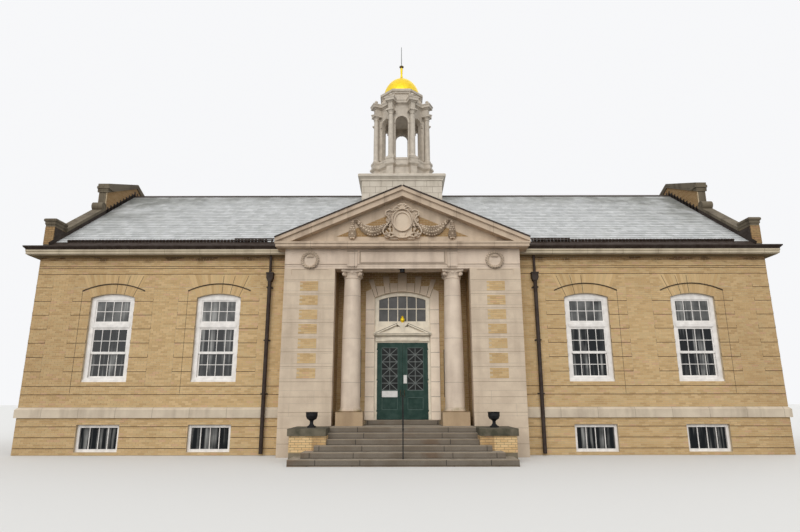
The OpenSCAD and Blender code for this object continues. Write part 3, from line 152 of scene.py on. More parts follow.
def new_material(name, roughness, metallic=0.0, shine=0.5):
    """A new material, its shader, and the place on the piece in metres."""
    made = bpy.data.materials.new(name)
    made.use_nodes = True
    nodes = made.node_tree.nodes
    shader = nodes["Principled BSDF"]
    for key, number in (("Roughness", roughness), ("Metallic", metallic), ("Specular IOR Level", shine)):
        feed(shader.inputs[key], number)
    return made, shader, nodes.new("ShaderNodeTexCoord").outputs["Object"]


def two_tone(name, roughness, patches, dark, pale, metallic=0.0, shine=0.5):
    """A finish of two tones in cloudy patches."""
    made, shader, where = new_material(name, roughness, metallic, shine)
    set_colour(shader, blend(clouds(where, *patches), dark, pale))
    return made


sky = bpy.data.worlds.new("overcast_sky")
bpy.context.scene.world = sky
sky.use_nodes = True
sky.node_tree.nodes.clear()
where = sky.node_tree.nodes.new("ShaderNodeTexCoord").outputs["Generated"]
shades = add_node("ValToRGB", where)
shades.color_ramp.elements[0].color = (0.16, 0.16, 0.16, 1)
for stop, shade in ((0.49, 0.20), (0.56, 0.55)):
    shades.color_ramp.elements.new(stop).color = (shade * 0.97, shade * 0.985, shade, 1)
feed(shades.inputs["Fac"], ramp(axes(where)[2], -1, 1))
rays = add_node("LightPath", where).outputs
mixed = [plus(plus(rays["Is Camera Ray"], rays["Is Glossy Ray"]), rays["Is Transmission Ray"], True)]
for colour in (shades.outputs["Color"], (0.93, 0.935, 0.95)):
    light = add_node("Background", where)
    feed(light.inputs["Color"], colour)
    mixed.append(light.outputs[0])
sky_mix = add_node("MixShader", where)
for socket, value in zip(sky_mix.inputs, mixed):
    feed(socket, value)
feed(add_node("OutputWorld", where).inputs["Surface"], sky_mix.outputs[0])

floor_material, shader, where = new_material("pale_floor", 0.9)
seen = add_node("LightPath", where).outputs["Is Camera Ray"]
set_colour(shader, blend(seen, (0.20, 0.20, 0.20), (0.72, 0.72, 0.71)))
bpy.ops.mesh.primitive_circle_add(vertices=64, radius=260, fill_type="NGON", location=(0, 0, -0.003))
floor = bpy.context.object
floor.name = "floor"
floor.data.materials.append(floor_material)

# BRICK WALLS
# Buff face bricks in running bond stand a little proud of the mortar face of each wall. Raked
# joints divide the base, the corner blocks and the window blocks into bands of seven courses, drawn as
# dark strips of painted shade. Rubbed bricks on end fan out over every window, under a dark arc and
# beside a dark upright strip that are painted shadow of a shallow recess round the window.
COURSE = 0.0677
COURSE_START = 0.0136
BRICK_PITCH = 0.213
JOINT = 0.010
BRICK_OUT = 0.008
GROOVE = 0.012
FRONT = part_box("front_wall_left")[0].y
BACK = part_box("back_wall")[1].y
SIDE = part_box("gable_wall_right")[1].x
MIDDLE = (FRONT + BACK) / 2
DEPTH = BACK - FRONT
WALL_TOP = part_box("front_wall_left")[1].z
PORTICO_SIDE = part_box("portico_piers")[1].x
FRONT_WINDOWS = (6.28, 9.91)
BACK_WINDOWS = (2.65, 6.28, 9.91)
GABLE_WINDOWS = (2.2,)
WINDOW_HALF = 0.75
FAN_FOOT = 5.15
FAN_LEAN = 0.461


def course(number):
    """The height of the bed under that course of bricks."""
    return COURSE_START + COURSE * number


def select_only(*objects):
    bpy.ops.object.select_all(action="DESELECT")
    for one in objects:
        one.select_set(True)
    bpy.context.view_layer.objects.active = objects[0]


def copy_of(thing):
    made = thing.copy()
    made.data = thing.data.copy()
    bpy.context.scene.collection.objects.link(made)
    return made


def repeat(thing, *rows):
    """Repeats a shape in rows, each with its count and its step."""
    select_only(thing)
    for count, step in rows:
        row = thing.modifiers.new("row", "ARRAY")
        row.count = count
        row.use_relative_offset = False
        row.use_constant_offset = True
        row.constant_offset_displace = step
        bpy.ops.object.modifier_apply(modifier=row.name)
    return thing


def mode(name):
    bpy.ops.object.mode_set(mode=name)


def cut(thing, *planes):
    """Cuts away what lies on the side that each plane's normal points to."""
    select_only(thing)
    mode("EDIT")
    for point, normal in planes:
        bpy.ops.mesh.select_all(action="SELECT")
        bpy.ops.mesh.bisect(plane_co=point, plane_no=normal, clear_outer=True)
    mode("OBJECT")
    return thing


def cut_sides(thing, left, right, *planes):
    return cut(thing, ((left, 0, 0), (-1, 0, 0)), ((right, 0, 0), (1, 0, 0)), *planes)


def block(one, other):
    """A rectangular part between two opposite corners."""
    bpy.ops.object.select_all(action="DESELECT")
    bpy.ops.mesh.primitive_cube_add(size=1, location=[(a + b) / 2 for a, b in zip(one, other)],
                                    scale=[abs(b - a) for a, b in zip(one, other)])
    bpy.ops.object.transform_apply(location=True, rotation=True, scale=True)
    return bpy.context.object


def drop_faces(thing, test):
    """Removes the faces for which the test of their normal holds."""
    select_only(thing)
    mode("EDIT")
    bpy.ops.mesh.select_all(action="DESELECT")
    mode("OBJECT")
    for face in thing.data.polygons:
        face.select = test(face.normal)
    mode("EDIT")
    bpy.ops.mesh.delete(type="FACE")
    mode("OBJECT")


def placed(thing, step=(0, 0, 0), turn=0.0, axis="Z", mirror=False):
    """Turns a shape about an axis through the origin, moves it, and then mirrors it across X."""
    matrix = Matrix.Translation(step) @ Matrix.Rotation(turn, 4, axis)
    if mirror:
        matrix = Matrix.Scale(-1, 4, (1, 0, 0)) @ matrix
    thing.data.transform(matrix)
    if mirror:
        thing.data.flip_normals()
    return thing


def renamed(thing, name):
    thing.name = thing.data.name = name
    return thing


def join(name, parts):
    select_only(*parts)
    if len(parts) > 1:
        bpy.ops.object.join()
    return renamed(bpy.context.object, name)


def finish(thing, material, body="building"):
    thing.data.materials.clear()
    thing.data.materials.append(material)
    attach(thing, body)


def discard(*patterns):
    for pattern in patterns:
        bpy.data.objects.remove(pattern)


def cover(material, *nodes):
    """Gives carried-over solids their finish."""
    for name in nodes:
        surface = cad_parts[name].data.materials
        surface.clear()
        surface.append(material)


# one brick without its back, with the brick above it set half a brick along
brick_pair = block((JOINT / 2, -BRICK_OUT, JOINT / 2), (BRICK_PITCH - JOINT / 2, 0.002, COURSE - JOINT / 2))
drop_faces(brick_pair, lambda normal: normal.y > 0.5)
repeat(brick_pair, (2, (BRICK_PITCH / 2, 0, COURSE)))


def brick_field(left, right, low, high, *planes):
    """Bricks in the wall's own bond over one rectangle, cut at its edges and at any slanting plane."""
    left, right = sorted((left, right))
    first = math.floor((left - BRICK_PITCH / 2) / BRICK_PITCH)
    row = 2 * math.floor((low - COURSE_START) / (2 * COURSE))
    field = placed(copy_of(brick_pair), (first * BRICK_PITCH, 0, course(row)))
    repeat(field, (math.ceil(right / BRICK_PITCH) - first, (BRICK_PITCH, 0, 0)),
           (math.ceil((high - course(row)) / (2 * COURSE)), (0, 0, 2 * COURSE)))
    return cut_sides(field, left, right, ((0, 0, low), (0, 0, -1)), ((0, 0, high), (0, 0, 1)), *planes)


# the fan over a window centred on it: two rings of tapered bricks between slanting abutments
FAN_CENTRE = FAN_FOOT - WINDOW_HALF / FAN_LEAN
FAN_TURN = math.atan(FAN_LEAN)
FAN_BRICKS = 21
FAN_TOP = course(88)
fan_parts = []
for number in range(FAN_BRICKS):
    turn = FAN_TURN * (2 * (number + 0.5) / FAN_BRICKS - 1)
    lean = (turn / FAN_TURN) ** 2
    for foot, head in ((1.766 + 0.034 * lean, 2.090 + 0.03 * lean), (2.118 + 0.03 * lean, 2.75)):
        half = FAN_TURN / FAN_BRICKS * foot - JOINT * 0.35
        wedge = block((-half, -BRICK_OUT, foot), (half, 0.002, head))
        for vertex in wedge.data.vertices:
            if vertex.co.z > (foot + head) / 2:
                vertex.co.x *= head / foot
        fan_parts.append(placed(wedge, (0, 0, FAN_CENTRE), turn, "Y"))
fan = cut(join("fan", fan_parts), ((0, 0, FAN_TOP - GROOVE), (0, 0, 1)))


def tube(points, radius, sides=2):
    """A round bar along a line of points, closed at both ends."""
    line = bpy.data.curves.new("line", "CURVE")
    line.dimensions = "3D"
    line.bevel_depth = radius
    line.bevel_resolution = sides
    line.use_fill_caps = True
    run = line.splines.new("POLY")
    run.points.add(len(points) - 1)
    for point, place in zip(run.points, points):
        point.co = (*place, 1)
    made = bpy.data.objects.new("line", line)
    bpy.context.scene.collection.objects.link(made)
    select_only(made)
    bpy.ops.object.convert(target="MESH")
    return bpy.context.object


# a dark arc over a window and a dark strip down from its outer end, both painted shadow of the arch and jamb
# of a shallow recess round the window, and three dark joints in the fan
RECESS_ARCH_R = 2.4866
turns = [math.radians(25.5) * (number / 10 - 1) for number in range(21)]
recess_arch_points = [(RECESS_ARCH_R * math.sin(turn), -0.018, 3.140 + RECESS_ARCH_R * math.cos(turn)) for turn in turns]
end_x, _, end_z = recess_arch_points[-1]
shade_lines = [tube(recess_arch_points, 0.020, 1), block((end_x - 0.005, -0.010, 1.94), (end_x + 0.005, 0, end_z))]
for turn in (-0.05, -0.21, -0.39):
    radial = block((-0.007, -0.010, 1.77), (0.007, 0, 2.38 / math.cos(turn)))
    shade_lines.append(placed(radial, (0, 0, FAN_CENTRE), turn, "Y"))
recess_shade = join("recess_shade", shade_lines)

BASE_TOP = 1.168
BASE_ROWS = (0.0, course(3), course(8), course(13), BASE_TOP)
LOW_ROWS = (1.502, course(28), course(32))
BAND_ROWS = tuple(course(32 + 7 * i) for i in range(8)) + (FAN_TOP,)
TOP_ROWS = (FAN_TOP, course(91), course(92), WALL_TOP - 0.002)
BLOCK_W = 0.63
CORNER_W = 0.57
LOW_HALF = 0.70
LOW_WINDOW = (0.095, 0.955)
SILL = 2.318


def rake(left, right, height, rise=0.0):
    """A raked joint along a bed, drawn as a dark strip of painted shade in the groove, with a short upright
    one at both ends where it rises.
    """
    made = [block((left, -0.0015, height - GROOVE), (right, 0.001, height + GROOVE))]
    for end in (left, right) if rise else ():
        made.append(block((end - 0.008, -0.0015, height), (end + 0.008, 0.001, height + rise)))
    return made


def wall_face(left, right, windows, corners):
    """Bricks, the painted shade of the raked joints, and the painted shadow lines over and beside the windows
    of one wall under the cornice; its face is at y = 0.
    """
    bricks, groove_shades, labels = [], [], []

    def fill(*field):
        bricks.append(brick_field(*field))

    edges = [left] + [x for w in windows for x in (w - LOW_HALF, w + LOW_HALF)] + [right]
    for low, high in zip(BASE_ROWS, BASE_ROWS[1:]):
        for a, b in zip(edges[::2], edges[1::2]):
            fill(a, b, low + GROOVE, high - (GROOVE if high < BASE_TOP else 0))
            if high < BASE_TOP:
                groove_shades += rake(a, b, high)
    for middle in windows:
        fill(middle - LOW_HALF, middle + LOW_HALF, 0.0, LOW_WINDOW[0])
        fill(middle - LOW_HALF, middle + LOW_HALF, LOW_WINDOW[1], BASE_TOP)
    for rows in (LOW_ROWS, TOP_ROWS):
        for low, high in zip(rows, rows[1:]):
            fill(left, right, low + GROOVE, high - GROOVE)
    for height in LOW_ROWS[1:] + TOP_ROWS[:-1]:
        groove_shades += rake(left, right, height)
    blocks = [(left, left + CORNER_W, 0)] if corners[0] else []
    for middle in windows:
        blocks += [(middle - WINDOW_HALF - BLOCK_W, middle - WINDOW_HALF, -1),
                   (middle + WINDOW_HALF, middle + WINDOW_HALF + BLOCK_W, 1)]
    blocks += [(right - CORNER_W, right, 0)] if corners[1] else []
    for a, b, side in blocks:
        skew = ((b if side < 0 else a, 0, FAN_FOOT), (-side, 0, FAN_LEAN))
        for low, high in zip(BAND_ROWS, BAND_ROWS[1:]):
            if side and high > FAN_FOOT:
                fill(a, b, low + GROOVE, high - GROOVE, skew)
            else:
                fill(a + 0.004, b - 0.004, low + GROOVE, high - GROOVE)
            if low > BAND_ROWS[0] and not (side and low > 5.4):
                drawn = max(0.0, low - FAN_FOOT) * FAN_LEAN * side
                groove_shades += rake(a + max(drawn, 0), b + min(drawn, 0), low, 0.11)
    ends = [left] + [x for a, b, side in blocks for x in (a, b)] + [right]
    for a, b in zip(ends[::2], ends[1::2]):
        if b > a and not any(a < middle < b for middle in windows):
            fill(a + 0.004, b - 0.004, BAND_ROWS[0] + GROOVE, FAN_TOP - GROOVE)
    for middle in windows:
        fill(middle - WINDOW_HALF, middle + WINDOW_HALF, BAND_ROWS[0] + GROOVE, SILL)
        bricks.append(placed(copy_of(fan), (middle, 0, 0)))
        labels.append(placed(copy_of(recess_shade), (abs(middle), 0, 0), mirror=middle < 0))
    return bricks, groove_shades, labels


PEDESTAL_W = 0.65
PEDESTAL = (7.05, 7.70)
CROWN_HALF = DEPTH / 2 - 3.04
CROWN_FOOT = 10.15
CROWN_LEAN = 0.456
PITCH = 0.7


def gable_head():
    """Bricks of a gable above the cornice: the two rakes and the raised middle."""
    slopes = [((side * CROWN_HALF, 0, CROWN_FOOT), (side * CROWN_LEAN, 0, 1)) for side in (-1, 1)]
    parts = [brick_field(-CROWN_HALF, CROWN_HALF, WALL_TOP, 11.3, *slopes)]
    for side in (-1, 1):
        foot = side * (DEPTH / 2 - PEDESTAL_W)
        slope = ((0, 0, 11.059), (side * PITCH, 0, 1))
        parts += [brick_field(side * CROWN_HALF, foot, WALL_TOP, 9.5, slope),
                  brick_field(foot, side * DEPTH / 2, *PEDESTAL)]
    return parts


def brick_finish(name, light):
    """Fired clay in several buff tones with patches of dirt, painted shade under the cornice and in the
    porch, and darker towards the ends of the walls.
    """
    material, shader, where = new_material(name, 0.92)
    across, back, up = axes(where)
    wide = unsigned(across)
    tones = add_node("ValToRGB", where)
    tones.color_ramp.interpolation = "CONSTANT"
    for stop, tone in (
            (0.16, (0.545, 0.375, 0.185)), (0.42, (0.58, 0.405, 0.205)), (0.66, (0.62, 0.445, 0.235)),
            (0.84, (0.50, 0.34, 0.165)), (0.95, (0.59, 0.385, 0.225))):
        tones.color_ramp.elements.new(stop).color = (*tone, 1)
    tones.color_ramp.elements[0].color = (0.575, 0.42, 0.22, 1)
    tones.color_ramp.elements[-1].color = (0.43, 0.285, 0.15, 1)
    feed(tones.inputs["Fac"], add_node("NewGeometry", where).outputs["Random Per Island"])
    face = stained(tones.outputs["Color"], clouds(where, 38, 4, 0.3, 0.75), (1.10, 1.08, 1.05))
    darkening = times(clouds(where, 0.45, 4, 0.40, 0.72, (1, 1, 0.5)), 0.30)
    # patches of dirt, painted shade under the cornice from 6.43 m up, and darker towards the ends of the
    # walls
    dirt_and_shade = plus(darkening, plus(ramp(up, 6.43, 6.46), times(ramp(wide, 9.0, 12.8), 0.30)), True)
    # painted shade in the porch: its brick darkens towards the top and towards the sides, below the ceiling
    in_porch = times(times(below(wide, 2.6), below(back, 0)), below(up, 6.4))
    high = plus(times(ramp(up, 4.4, 5.8), 0.75), times(ramp(wide, 1.9, 2.4), 0.65), True)
    face = stained(face, plus(dirt_and_shade, times(in_porch, high), True), (0.58, 0.52, 0.46))
    band = times(ramp(up, 6.28, 6.48), ramp(up, 6.7, 6.6))
    marks = times(clouds(where, 1.5, 5, 0.53, 0.60, (1, 1, 3)), band)
    face = stained(face, times(marks, 0.8), (0.30, 0.25, 0.20))
    set_colour(shader, stained(face, 1.0, (light, light, light)))
    raise_bumps(shader, clouds(where, 120, 5, 0.2, 0.8), 0.0015)
    return material


brick_face = brick_finish("buff_brick", 1.0)
# dark strips in the raked joints: painted shade in the grooves; the stone doorway's joints share this dark
# finish
joint_shade_and_dirt = two_tone("joint_shade_and_dirt", 0.95, (9,), (0.085, 0.055, 0.03), (0.17, 0.115, 0.065))
# dark arcs and upright strips at the windows: painted shadow of a shallow recess round each window; the
# radial strips are dark joints in the fans
recess_shade_and_joints = two_tone("recess_shade_and_joints", 0.6, (14,), (0.030, 0.020, 0.012), (0.075, 0.052, 0.032), 0.3)

mortar, shader, where = new_material("lime_mortar", 0.95)
sand = blend(clouds(where, 60, 5), (0.52, 0.41, 0.26), (0.62, 0.50, 0.34))
set_colour(shader, stained(sand, times(clouds(where, 0.5, 4, 0.42, 0.7), 0.35), (0.62, 0.55, 0.48)))
raise_bumps(shader, clouds(where, 200, 4), 0.001)
cover(mortar, "front_wall_left", "front_wall_right", "back_wall", "gable_wall_left", "gable_wall_right",
      "porch_side_walls", "porch_wall_beside", "porch_wall_over", "brick_inlays")


def both_sides(places):
    return [-x for x in places[::-1]] + list(places)


wall_plan = (
    ("front_left", (-SIDE, -PORTICO_SIDE, [-x for x in FRONT_WINDOWS[::-1]], (True, False)), (0, FRONT), 0),
    ("front_right", (PORTICO_SIDE, SIDE, FRONT_WINDOWS, (False, True)), (0, FRONT), 0),
    ("back", (-SIDE, SIDE, both_sides(BACK_WINDOWS), (True, True)), (0, BACK), math.pi),
    ("gable_right", (FRONT - MIDDLE, BACK - MIDDLE, both_sides(GABLE_WINDOWS), (True, True)),
     (SIDE, MIDDLE), math.pi / 2))
for name, face, at, turn in wall_plan:
    bricks, groove_shades, labels = wall_face(*face)
    bricks += gable_head() if name == "gable_right" else []
    for part, parts, material, slot in (
            ("bricks", bricks, brick_face, "brick"), ("raked_joints", groove_shades, joint_shade_and_dirt, "brick"),
            ("labels", labels, recess_shade_and_joints, "dark_metal")):
        made = placed(join(f"{name}_{part}", parts), (*at, 0), turn)
        finish(made, material)
        if name == "gable_right":
            other = placed(copy_of(made), (0, 2 * MIDDLE, 0), math.pi)
            finish(renamed(other, f"gable_left_{part}"), material)

# the porch walls, the returns of the portico, the panels of the piers and the pediment's infill
PIER_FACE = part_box("portico_piers")[0].y
CARVE_FACE = PIER_FACE + 0.06
PORCH_BACK = FRONT + 0.6
PORCH_SIDE = 2.25
PORCH = (0.935, 6.2)
DOORWAY_HALF = 1.28
PANEL_ROWS = [2.4 + 0.474 * number for number in range(7)]
PORT_PITCH = 0.43
GABLE_PEAK = (0, 0, 8.0875)
porch_bricks = []
for side in (-1, 1):
    for a, b, rows, x, y, turn in (
            (DOORWAY_HALF, PORCH_SIDE, PORCH, 0, PORCH_BACK, 0),
            (0.3, -0.6, PORCH, PORCH_SIDE, FRONT, -math.pi / 2),
            (0, -0.3, (0.0, 6.0), PORTICO_SIDE, FRONT, math.pi / 2)):
        part = brick_field(side * a, side * b, *rows)
        porch_bricks.append(placed(part, (side * x, y, 0), side * turn))
    for foot in PANEL_ROWS:
        panel = repeat(copy_of(brick_pair), (3, (BRICK_PITCH, 0, 0)), (3, (0, 0, 2 * COURSE)))
        cut_sides(panel, 0.021, 0.619, ((0, 0, 0.319), (0, 0, 1)))
        left = side * (PORTICO_SIDE + PORCH_SIDE) / 2 - 0.32
        porch_bricks.append(placed(panel, (left, PIER_FACE, foot + 0.001)))
porch_bricks.append(placed(brick_field(-DOORWAY_HALF, DOORWAY_HALF, 5.46, PORCH[1]), (0, PORCH_BACK, 0)))
infill = brick_field(-2.24, 2.24, 7.121, GABLE_PEAK[2], (GABLE_PEAK, (PORT_PITCH, 0, 1)),
                     (GABLE_PEAK, (-PORT_PITCH, 0, 1)))
porch_bricks.append(placed(infill, (0, CARVE_FACE, 0)))
finish(join("porch_bricks", porch_bricks), brick_face)
discard(fan, recess_shade)

# the inner faces of the raised middles of both gables, over the roof
ROOF_HALF = SIDE - 0.33
inner_bricks = []
for half in (-1, 1):
    over_roof = ((0, 0, 10.90), (-half * PITCH, 0, -1))
    under_cap = ((0, 0, CROWN_FOOT + CROWN_LEAN * CROWN_HALF - 0.01), (half * CROWN_LEAN, 0, 1))
    part = brick_field(0, half * (CROWN_HALF - 0.02), 9.0, 11.3, over_roof, under_cap)
    for side in (-1, 1):
        inner_bricks.append(placed(copy_of(part), (side * (SIDE - 0.331), MIDDLE, 0), -side * math.pi / 2))
    discard(part)
finish(join("parapet_bricks", inner_bricks), brick_face)

# the dies of the gable pedestals, and of the cheek blocks beside the steps
die_bricks = []
for side in (-1, 1):
    for y, turn, inward in ((FRONT, 0, 1), (BACK, math.pi, -1)):
        face = brick_field(side * inward * ROOF_HALF, side * inward * SIDE, *PEDESTAL)
        inner = brick_field(0, -side * inward * PEDESTAL_W, *PEDESTAL)
        die_bricks += [placed(face, (0, y, 0), turn),
                       placed(inner, (side * ROOF_HALF, y, 0), -side * math.pi / 2)]
finish(join("pedestal_bricks", die_bricks), brick_face)
CHEEK_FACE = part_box("cheek_blocks")[0].y + 0.05
CHEEK = (2.2, 3.25)
CHEEK_ROWS = (0.27, 0.729)
die_bricks = []
for side in (-1, 1):
    face = brick_field(side * CHEEK[0], side * CHEEK[1], *CHEEK_ROWS)
    die_bricks.append(placed(face, (0, CHEEK_FACE, 0)))
    for edge, turn in ((CHEEK[1], side), (CHEEK[0], -side)):
        flank = brick_field(0, 1.55 * turn, *CHEEK_ROWS)
        die_bricks.append(placed(flank, (side * edge, CHEEK_FACE, 0), turn * math.pi / 2))
finish(join("cheek_bricks", die_bricks), brick_finish("cream_brick", 1.22))

# WATER TABLE, CORNICES AND GUTTERS
# Dressed limestone runs round the walls as a weathered band and as the flat cornice at the eaves.
# Its stones are about 1.2 m long with fine butt joints. The gutters are copper, painted brown.
def steps_up(value, start, pitch):
    """How many steps of that pitch a value is past the start."""
    return divided(minus(value, start), pitch)


def near_joint(value, start, pitch):
    """1 on joints 12 mm wide that lie a pitch apart."""
    spot = fraction(steps_up(value, start, pitch))
    return above(unsigned(minus(spot, 0.5)), 0.5 - 0.006 / pitch)


def facing_up(where):
    return axes(add_node("NewGeometry", where).outputs["Normal"])[2]


def stone_finish(name, streaks, tint, upright=None, rows=None, moss=None, darkening=None):
    """Rubbed limestone with washed-down streaks. Its upright joints and its rows each have a start and
    a pitch. Moss grows up to a height, and the last argument is a share worked out from the place and
    the colour that it darkens by, which gives painted shade under the eaves stone."""
    material, shader, where = new_material(name, 0.85)
    across, back, up = axes(where)
    face = blend(clouds(where, 2.2, 5), (0.57, 0.50, 0.43), (0.66, 0.59, 0.51))
    face = stained(face, times(clouds(where, 55, 5, 0.45, 0.75), 0.35), (0.80, 0.76, 0.72))
    wash = clouds(where, 3.0, 4, 0.48, 0.75, (1, 1, 0.12))
    face = stained(face, times(wash, streaks), (0.42, 0.38, 0.35))
    grain = clouds(where, 90, 5, 0.2, 0.8)
    lines = [near_joint(value, *upright) for value in (across, back)] if upright else []
    lines += [near_joint(up, *rows)] if rows else []
    if lines:
        joints = lines[0]
        for line in lines[1:]:
            joints = larger(joints, line)
        face = blend(times(joints, 0.7), face, (0.22, 0.18, 0.14))
        grain = minus(grain, times(joints, 2.0))
    if moss:
        face = stained(face, ramp(up, moss + 0.06, moss), (0.60, 0.52, 0.40))
        edge = ramp(unsigned(minus(up, moss + 0.05)), 0.10, 0.03)
        face = stained(face, times(edge, clouds(where, 2.3, 4, 0.38, 0.6)), (0.36, 0.35, 0.15))
    face = stained(face, 1.0, tint)
    if darkening:
        face = stained(face, darkening[0](where), darkening[1])
    set_colour(shader, face)
    raise_bumps(shader, grain, 0.0012)
    return material


LONG_STONES = (0.31, 1.21)
cover(stone_finish("band_stone", 0.45, (0.98, 0.94, 0.84), LONG_STONES), "water_table")
# the eaves stone's downward faces are darkened: painted shade underneath
underside_shade = (lambda where: below(facing_up(where), -0.3), (0.50, 0.44, 0.30))
cover(stone_finish("eaves_stone", 0.45, (0.86, 0.83, 0.70), LONG_STONES, darkening=underside_shade), "eaves_cornice")
weathered_stone = stone_finish("weathered_stone", 0.9, (0.24, 0.22, 0.17), (0.2, 0.9))
cover(weathered_stone, "gable_copings", "gable_pedestals")


def painted_finish(name, colour, roughness, wear, shine=0.5):
    """Paint with brush marks and a little chalking, over wood or metal."""
    material, shader, where = new_material(name, roughness, shine=shine)
    faded = tuple(c * 1.18 + 0.015 for c in colour)
    darkening = times(clouds(where, 4.2, 5, 0.5, 0.8, (1, 1, 0.25)), wear)
    set_colour(shader, stained(blend(clouds(where, 6.0, 4), colour, faded), darkening, (0.45, 0.41, 0.36)))
    raise_bumps(shader, clouds(where, 70, 4, 0.3, 0.7, (1, 1, 0.1)), 0.0006)
    return material


gutter_paint = painted_finish("gutter_paint", (0.034, 0.022, 0.016), 0.65, 0.3, 0.2)
cover(gutter_paint, "gutters_and_downspouts", "ridge_and_snow_rails")

# SLATES AND RIDGE
# Light grey slates 250 mm wide are nailed in courses 220 mm apart, each lapping the two below, over
# the boarded slopes. A strip of brown flashing and small snow guards run along the eaves.
SLATE_W = 0.25
SLATE_GAUGE = 0.22
EAVES = (0, FRONT - 0.2, 6.904)
SLOPE = math.atan(PITCH)
SLOPE_L = (DEPTH / 2 + 0.2) / math.cos(SLOPE)
PORT_HALF = 4.25
RAKE_FOOT = 7.01
VALLEY_Y = 2.562
VALLEY_X = 2.611
SLATES_STOP = 4.27
slate_pair = block((0.002, 0, 0), (SLATE_W - 0.002, SLATE_GAUGE + 0.03, 0.016))
for vertex in slate_pair.data.vertices:
    if vertex.co.y > SLATE_GAUGE and vertex.co.z > 0.01:
        vertex.co.z = 0.003
drop_faces(slate_pair, lambda normal: normal.z < -0.5 or normal.y > 0.5)
repeat(slate_pair, (2, (SLATE_W / 2, SLATE_GAUGE, 0)))


def slate_slope(left, right, length=SLOPE_L, pitch=PITCH):
    """Courses of slates up a slope that starts at the X axis and rises away from it."""
    left, right = sorted((left, right))
    made = placed(copy_of(slate_pair), (left - SLATE_W, 0, 0))
    repeat(made, (math.ceil((right - left) / SLATE_W) + 2, (SLATE_W, 0, 0)),
           (math.ceil(length / (2 * SLATE_GAUGE)) + 1, (0, 2 * SLATE_GAUGE, 0)))
    cut_sides(made, left, right, ((0, length, 0), (0, 1, 0)))
    return placed(made, turn=math.atan(pitch), axis="X")


def slate_finish(name, foot, pitch):
    """Weathered slate, darker along the foot of each course, stained towards the gables and the ridge."""
    material, shader, where = new_material(name, 0.75)
    across, _, up = axes(where)
    each = add_node("NewGeometry", where).outputs["Random Per Island"]
    face = blend(each, (0.44, 0.45, 0.455), (0.57, 0.58, 0.585))
    face = stained(face, clouds(where, 5, 5, 0.4, 0.7), (0.88, 0.88, 0.86))
    spot = fraction(steps_up(up, foot, SLATE_GAUGE * math.sin(math.atan(pitch))))
    line = times(ramp(spot, 0.20, 0.0), clouds(where, 1.4, 4, 0.35, 0.6))
    face = stained(face, times(line, 0.75), (0.34, 0.34, 0.33))
    ends = times(ramp(unsigned(across), 8.0, 12.0), ramp(up, 7.4, 9.4))
    stain = times(plus(ends, ramp(up, 9.8, 10.8)), clouds(where, 1.2, 5, 0.32, 0.62), True)
    set_colour(shader, stained(face, times(stain, 0.85), (0.42, 0.42, 0.38)))
    raise_bumps(shader, clouds(where, 45, 5, 0.2, 0.8), 0.002)
    return material


slate = slate_finish("grey_slate", EAVES[2], PITCH)
cover(slate, "roof_front", "roof_back")
portico_slate = slate_finish("portico_slate", RAKE_FOOT, PORT_PITCH)
cover(portico_slate, "portico_roof")

front_slates = [slate_slope(-ROOF_HALF, -SLATES_STOP), slate_slope(SLATES_STOP, ROOF_HALF)]
for side in (-1, 1):
    front_slates.append(cut(slate_slope(0, side * SLATES_STOP),
                            ((0, VALLEY_Y + 0.2, 0), (side * -VALLEY_X, -PORT_HALF, 0)),
                            ((0, 0.2, 0), (0, -1, 0))))
finish(placed(join("front_slates", front_slates), EAVES), slate)
back_slates = placed(slate_slope(-ROOF_HALF, ROOF_HALF), (0, 2 * MIDDLE - EAVES[1], EAVES[2]), math.pi)
finish(renamed(back_slates, "back_slates"), slate)

# the two slopes of the portico's roof, each cut off along its valley
port_slates = []
for side in (-1, 1):
    slope = slate_slope(side * 2.6, side * -0.3, PORT_HALF / math.cos(math.atan(PORT_PITCH)), PORT_PITCH)
    placed(slope, (side * PORT_HALF, FRONT, RAKE_FOOT), side * math.pi / 2)
    port_slates.append(cut(slope, ((0, FRONT + VALLEY_Y, 0), (side * VALLEY_X, PORT_HALF, 0)),
                           ((0, FRONT - 0.3, 0), (0, -1, 0))))
finish(join("portico_slates", port_slates), portico_slate)
discard(slate_pair)

# flashing and snow guards along the eaves, in brown metal
eaves_parts = []
for a, b, start in ((-ROOF_HALF, -4.35, 0.45), (4.35, ROOF_HALF, 0.3)):
    eaves_parts.append(block((a, 0.0, 0.012), (b, 0.42, 0.024)))
    guard = block((a + start, 0.40, 0.0), (a + start + 0.09, 0.48, 0.10))
    eaves_parts.append(repeat(guard, (int((b - a - 0.75) / 0.12), (0.12, 0, 0))))
finish(placed(join("eaves_flashing", eaves_parts), EAVES, SLOPE, "X"), gutter_paint)

# flashing turned up against each gable's parapet, stepped into the brick joints of its raised middle
step_parts = []
for side in (-1, 1):
    near, far = sorted((side * (ROOF_HALF - 0.001), side * (ROOF_HALF - 0.012)))
    step_parts.append(block((near - 0.004, FRONT + 0.01, 7.0), (far + 0.004, FRONT + 0.64, 7.69)))
    step_parts.append(placed(block((near, 0.05, 0.0), (far, SLOPE_L - 0.01, 0.15)), EAVES, SLOPE, "X"))
    for number in range(10):
        y = 3.15 + 0.235 * number
        z = EAVES[2] + PITCH * (y + 0.2)
        step_parts.append(block((near, FRONT + y, z), (far, FRONT + y + 0.13, z + 0.31)))
front_half = placed(join("stepped_flashing", step_parts), (0, -MIDDLE, 0))
back_half = placed(copy_of(front_half), turn=math.pi)
both = placed(join("stepped_flashing", [front_half, back_half]), (0, MIDDLE, 0))
finish(both, gutter_paint)

